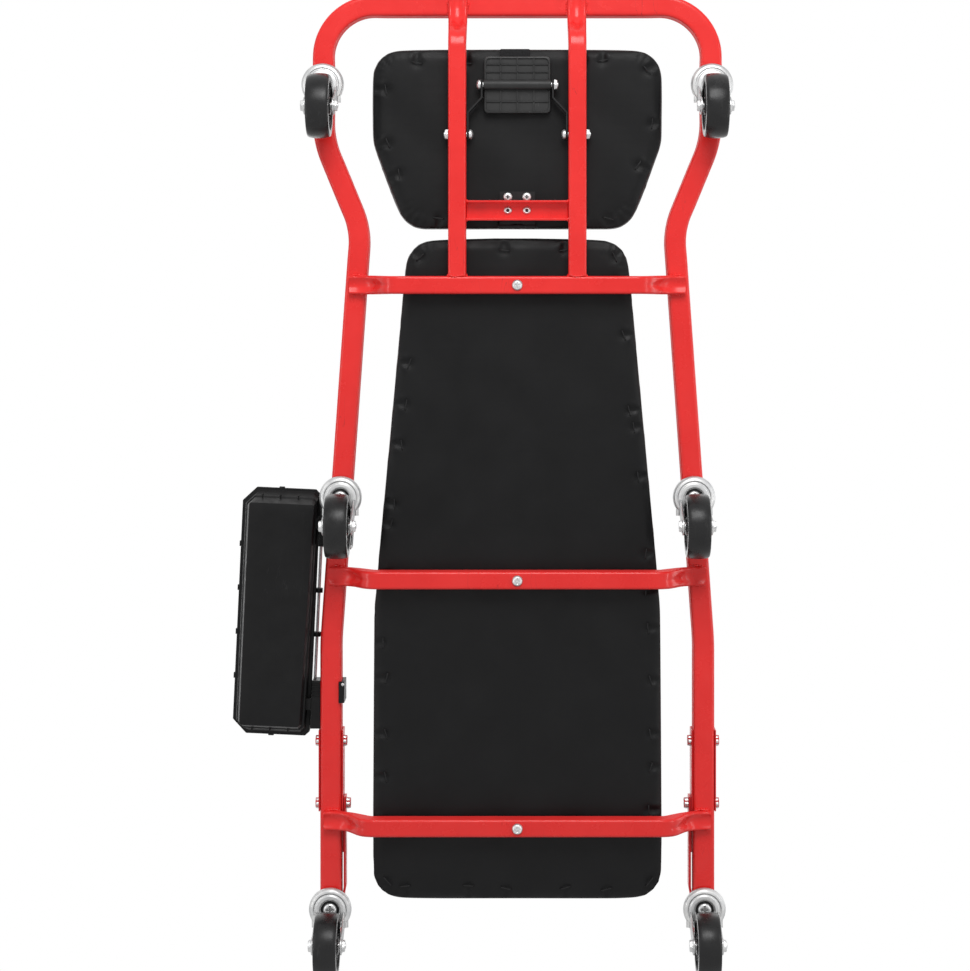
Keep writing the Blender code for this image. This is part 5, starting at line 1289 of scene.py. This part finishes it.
def makeClipDetail():
    # ribs under each clip's block and a small screw in the end of its strap
    c = clipSet
    blockLow = lines["railBottom"] + lines["railSize"] + lines["gap"] - c["block"]
    ribs, screws = [], []
    for clip, end, way in (("front_tray_clip", 1, -1), ("rear_tray_clip", 0, 1)):
        box = ownBox(clip)
        rail = railX(box[2][1])
        for y in box[end][1] + way * (c["inset"] + c["pitch"] * np.arange(c["ribs"])):
            ribs.append(blockShape((-rail - c["reach"][1], y - c["thick"] / 2, blockLow - c["stand"]),
                                   (-rail - c["reach"][0], y + c["thick"] / 2, blockLow + c["sink"])))
        place = (-rail + lines["railSize"] / 2 + c["screwOff"], box[end][1] + way * c["screwIn"],
                 lines["railBottom"] - c["lip"])
        screws.append(placed(panHead(c["screw"], c["screwHeight"], c["cross"], c["crossDepth"]), place))
    addPiece("clipRibs", gathered(ribs), blackPlastic, "frame", "black_plastic")
    addPiece("clipScrews", gathered(screws), brightZinc, "frame", "zinc_plate", smooth=35)


def makeTray():
    # shell and extras as one piece on the folding body
    shape = trayPlace(gathered([trayShell()] + trayExtras()))
    addPiece("toolTray", shape, blackPlastic, "tray", "black_plastic", "tool_tray", smooth=30)


makeTray()
makeClipDetail()
print("tray made")


def polish(name, material, width=0.0004, segments=2, angle=32.0, fuse=0.00002):
    # a carried-over solid gets fused edges, small bevels and one of the finishes above
    piece = nodes[name]
    weld = piece.modifiers.new("fused", "WELD")
    weld.merge_threshold = fuse
    bevel = piece.modifiers.new("eased", "BEVEL")
    bevel.width, bevel.segments = width, segments
    bevel.limit_method, bevel.angle_limit = "ANGLE", np.radians(angle)
    piece.data.materials.clear()
    piece.data.materials.append(material)
    piece.data.polygons.foreach_set("use_smooth", np.zeros(len(piece.data.polygons), bool))


for side in sides:
    polish(side + "_splice", darkerRed)
    polish(side + "_tail_stay", darkerRed)
    polish(side + "_tail_plug", blackPlastic)
    polish(side + "_prop_arm", darkSteel, 0.0003)
polish("hinge_channel", redPaint, 0.0007, 3)
for name in ("front_tray_clip", "rear_tray_clip"):
    polish(name, blackPlastic)
for name in ("hinge_fixed_leaf", "hinge_moving_leaf", "hinge_pin"):
    polish(name, darkSteel, 0.0003)
polish("tray_rod", brightSteel, 0.0002)
print("carried-over solids finished")


studio = {"floor": 4.0, "floorTone": (0.86, 0.86, 0.85), "floorDrift": 0.985, "floorScale": 3.0,
          "floorRough": 0.8, "floorShine": 0.1, "ambient": 0.36}
# energy, size, place and the point that each lamp faces
lamps = {"headLamp": (26.0, (1.0, 1.0), (0.1, -1.0, -1.35), (0, 0.30, 0.05)),
         "leftLamp": (4.0, (1.4, 0.14), (-1.3, 0.4, -0.65), (0, 0.45, 0.05)),
         "rightLamp": (4.0, (1.4, 0.14), (1.3, 0.4, -0.65), (0, 0.45, 0.05)),
         "overLamp": (26.0, (3.2, 3.2), (-0.6, 0.2, 2.2), (0, 0.5, 0.05)),
         "sideLamp": (8.0, (1.4, 1.4), (1.9, 0.4, 0.9), (0, 0.5, 0.05))}
cameraSet = {"below": 2.300, "focalPixels": 2119.8, "pictureSide": 971, "shiftPixels": (-32.3, -200.5)}


def makeFloor():
    # pale floor under the wheels, seen by the camera from above only; all other rays go through it
    half = studio["floor"]
    mesh = bpy.data.meshes.new("studioFloor")
    corners = [(-half, -half, 0), (half, -half, 0), (half, half, 0), (-half, half, 0)]
    mesh.from_pydata(corners, [], [(0, 1, 2, 3)])
    floor = newObject("studioFloor", mesh)
    material, tree, shader = newMaterial("paleFloor")
    darker = tuple(v * studio["floorDrift"] for v in studio["floorTone"])
    tone = mixed(tree, grouped(tree, "mottle", Scale=studio["floorScale"]), studio["floorTone"], darker)
    tree.links.new(tone, shader.inputs["Base Color"])
    shader.inputs["Roughness"].default_value = studio["floorRough"]
    shader.inputs["Specular IOR Level"].default_value = studio["floorShine"]
    ray = newNode(tree, "LightPath").outputs["Is Camera Ray"]
    front = combined(tree, "SUBTRACT", 1.0, newNode(tree, "NewGeometry").outputs["Backfacing"])
    seen = combined(tree, "MULTIPLY", ray, front)
    clear = newNode(tree, "BsdfTransparent")
    both = newNode(tree, "MixShader", {0: seen, 1: clear.outputs[0], 2: shader.outputs[0]})
    tree.links.new(both.outputs[0], tree.nodes["Material Output"].inputs["Surface"])
    mesh.materials.append(material)


def makeWorld():
    # white where the camera, glass or a reflection looks; a plain grey light elsewhere
    world = bpy.data.worlds.new("studioWorld")
    bpy.context.scene.world = world
    world.use_nodes = True
    tree = world.node_tree
    ground = tree.nodes["Background"]
    path = newNode(tree, "LightPath").outputs
    seen = combined(tree, "MAXIMUM", path["Is Camera Ray"], path["Is Glossy Ray"])
    seen = combined(tree, "MAXIMUM", seen, path["Is Transmission Ray"])
    tone = mixed(tree, seen, (studio["ambient"],) * 3, (1.0, 1.0, 1.0))
    tree.links.new(tone, ground.inputs["Color"])
    ground.inputs["Strength"].default_value = 1.0


def addLamp(name, energy, size, place, aim):
    # a soft oblong lamp turned to face its aim, unseen by the camera
    light = bpy.data.lights.new(name, "AREA")
    light.energy, light.shape = energy, "RECTANGLE"
    light.size, light.size_y = size
    holder = newObject(name, light)
    holder.location = np.array(place) + shift
    holder.rotation_euler = Vector(np.array(aim) - place).to_track_quat("-Z", "Y").to_euler()
    holder.visible_camera = False


def makeCamera():
    # square to the underside, straight below the neck crossbar, framed by lens shift
    c = cameraSet
    camera = bpy.data.cameras.new("underCamera")
    camera.sensor_width = 36.0
    camera.lens = camera.sensor_width * c["focalPixels"] / c["pictureSide"]
    camera.shift_x, camera.shift_y = (pixels / c["pictureSide"] for pixels in c["shiftPixels"])
    camera.clip_end = 20.0
    holder = newObject("underCamera", camera)
    holder.location = np.array([0, barY["neck"], lines["railBottom"] - c["below"]]) + shift
    holder.rotation_euler = (np.pi, 0, 0)
    bpy.context.scene.camera = holder


makeFloor()
makeWorld()
for name, lamp in lamps.items():
    addLamp(name, *lamp)
makeCamera()
bpy.context.scene.view_settings.view_transform = "Standard"
bpy.context.view_layer.update()
print("stage set")
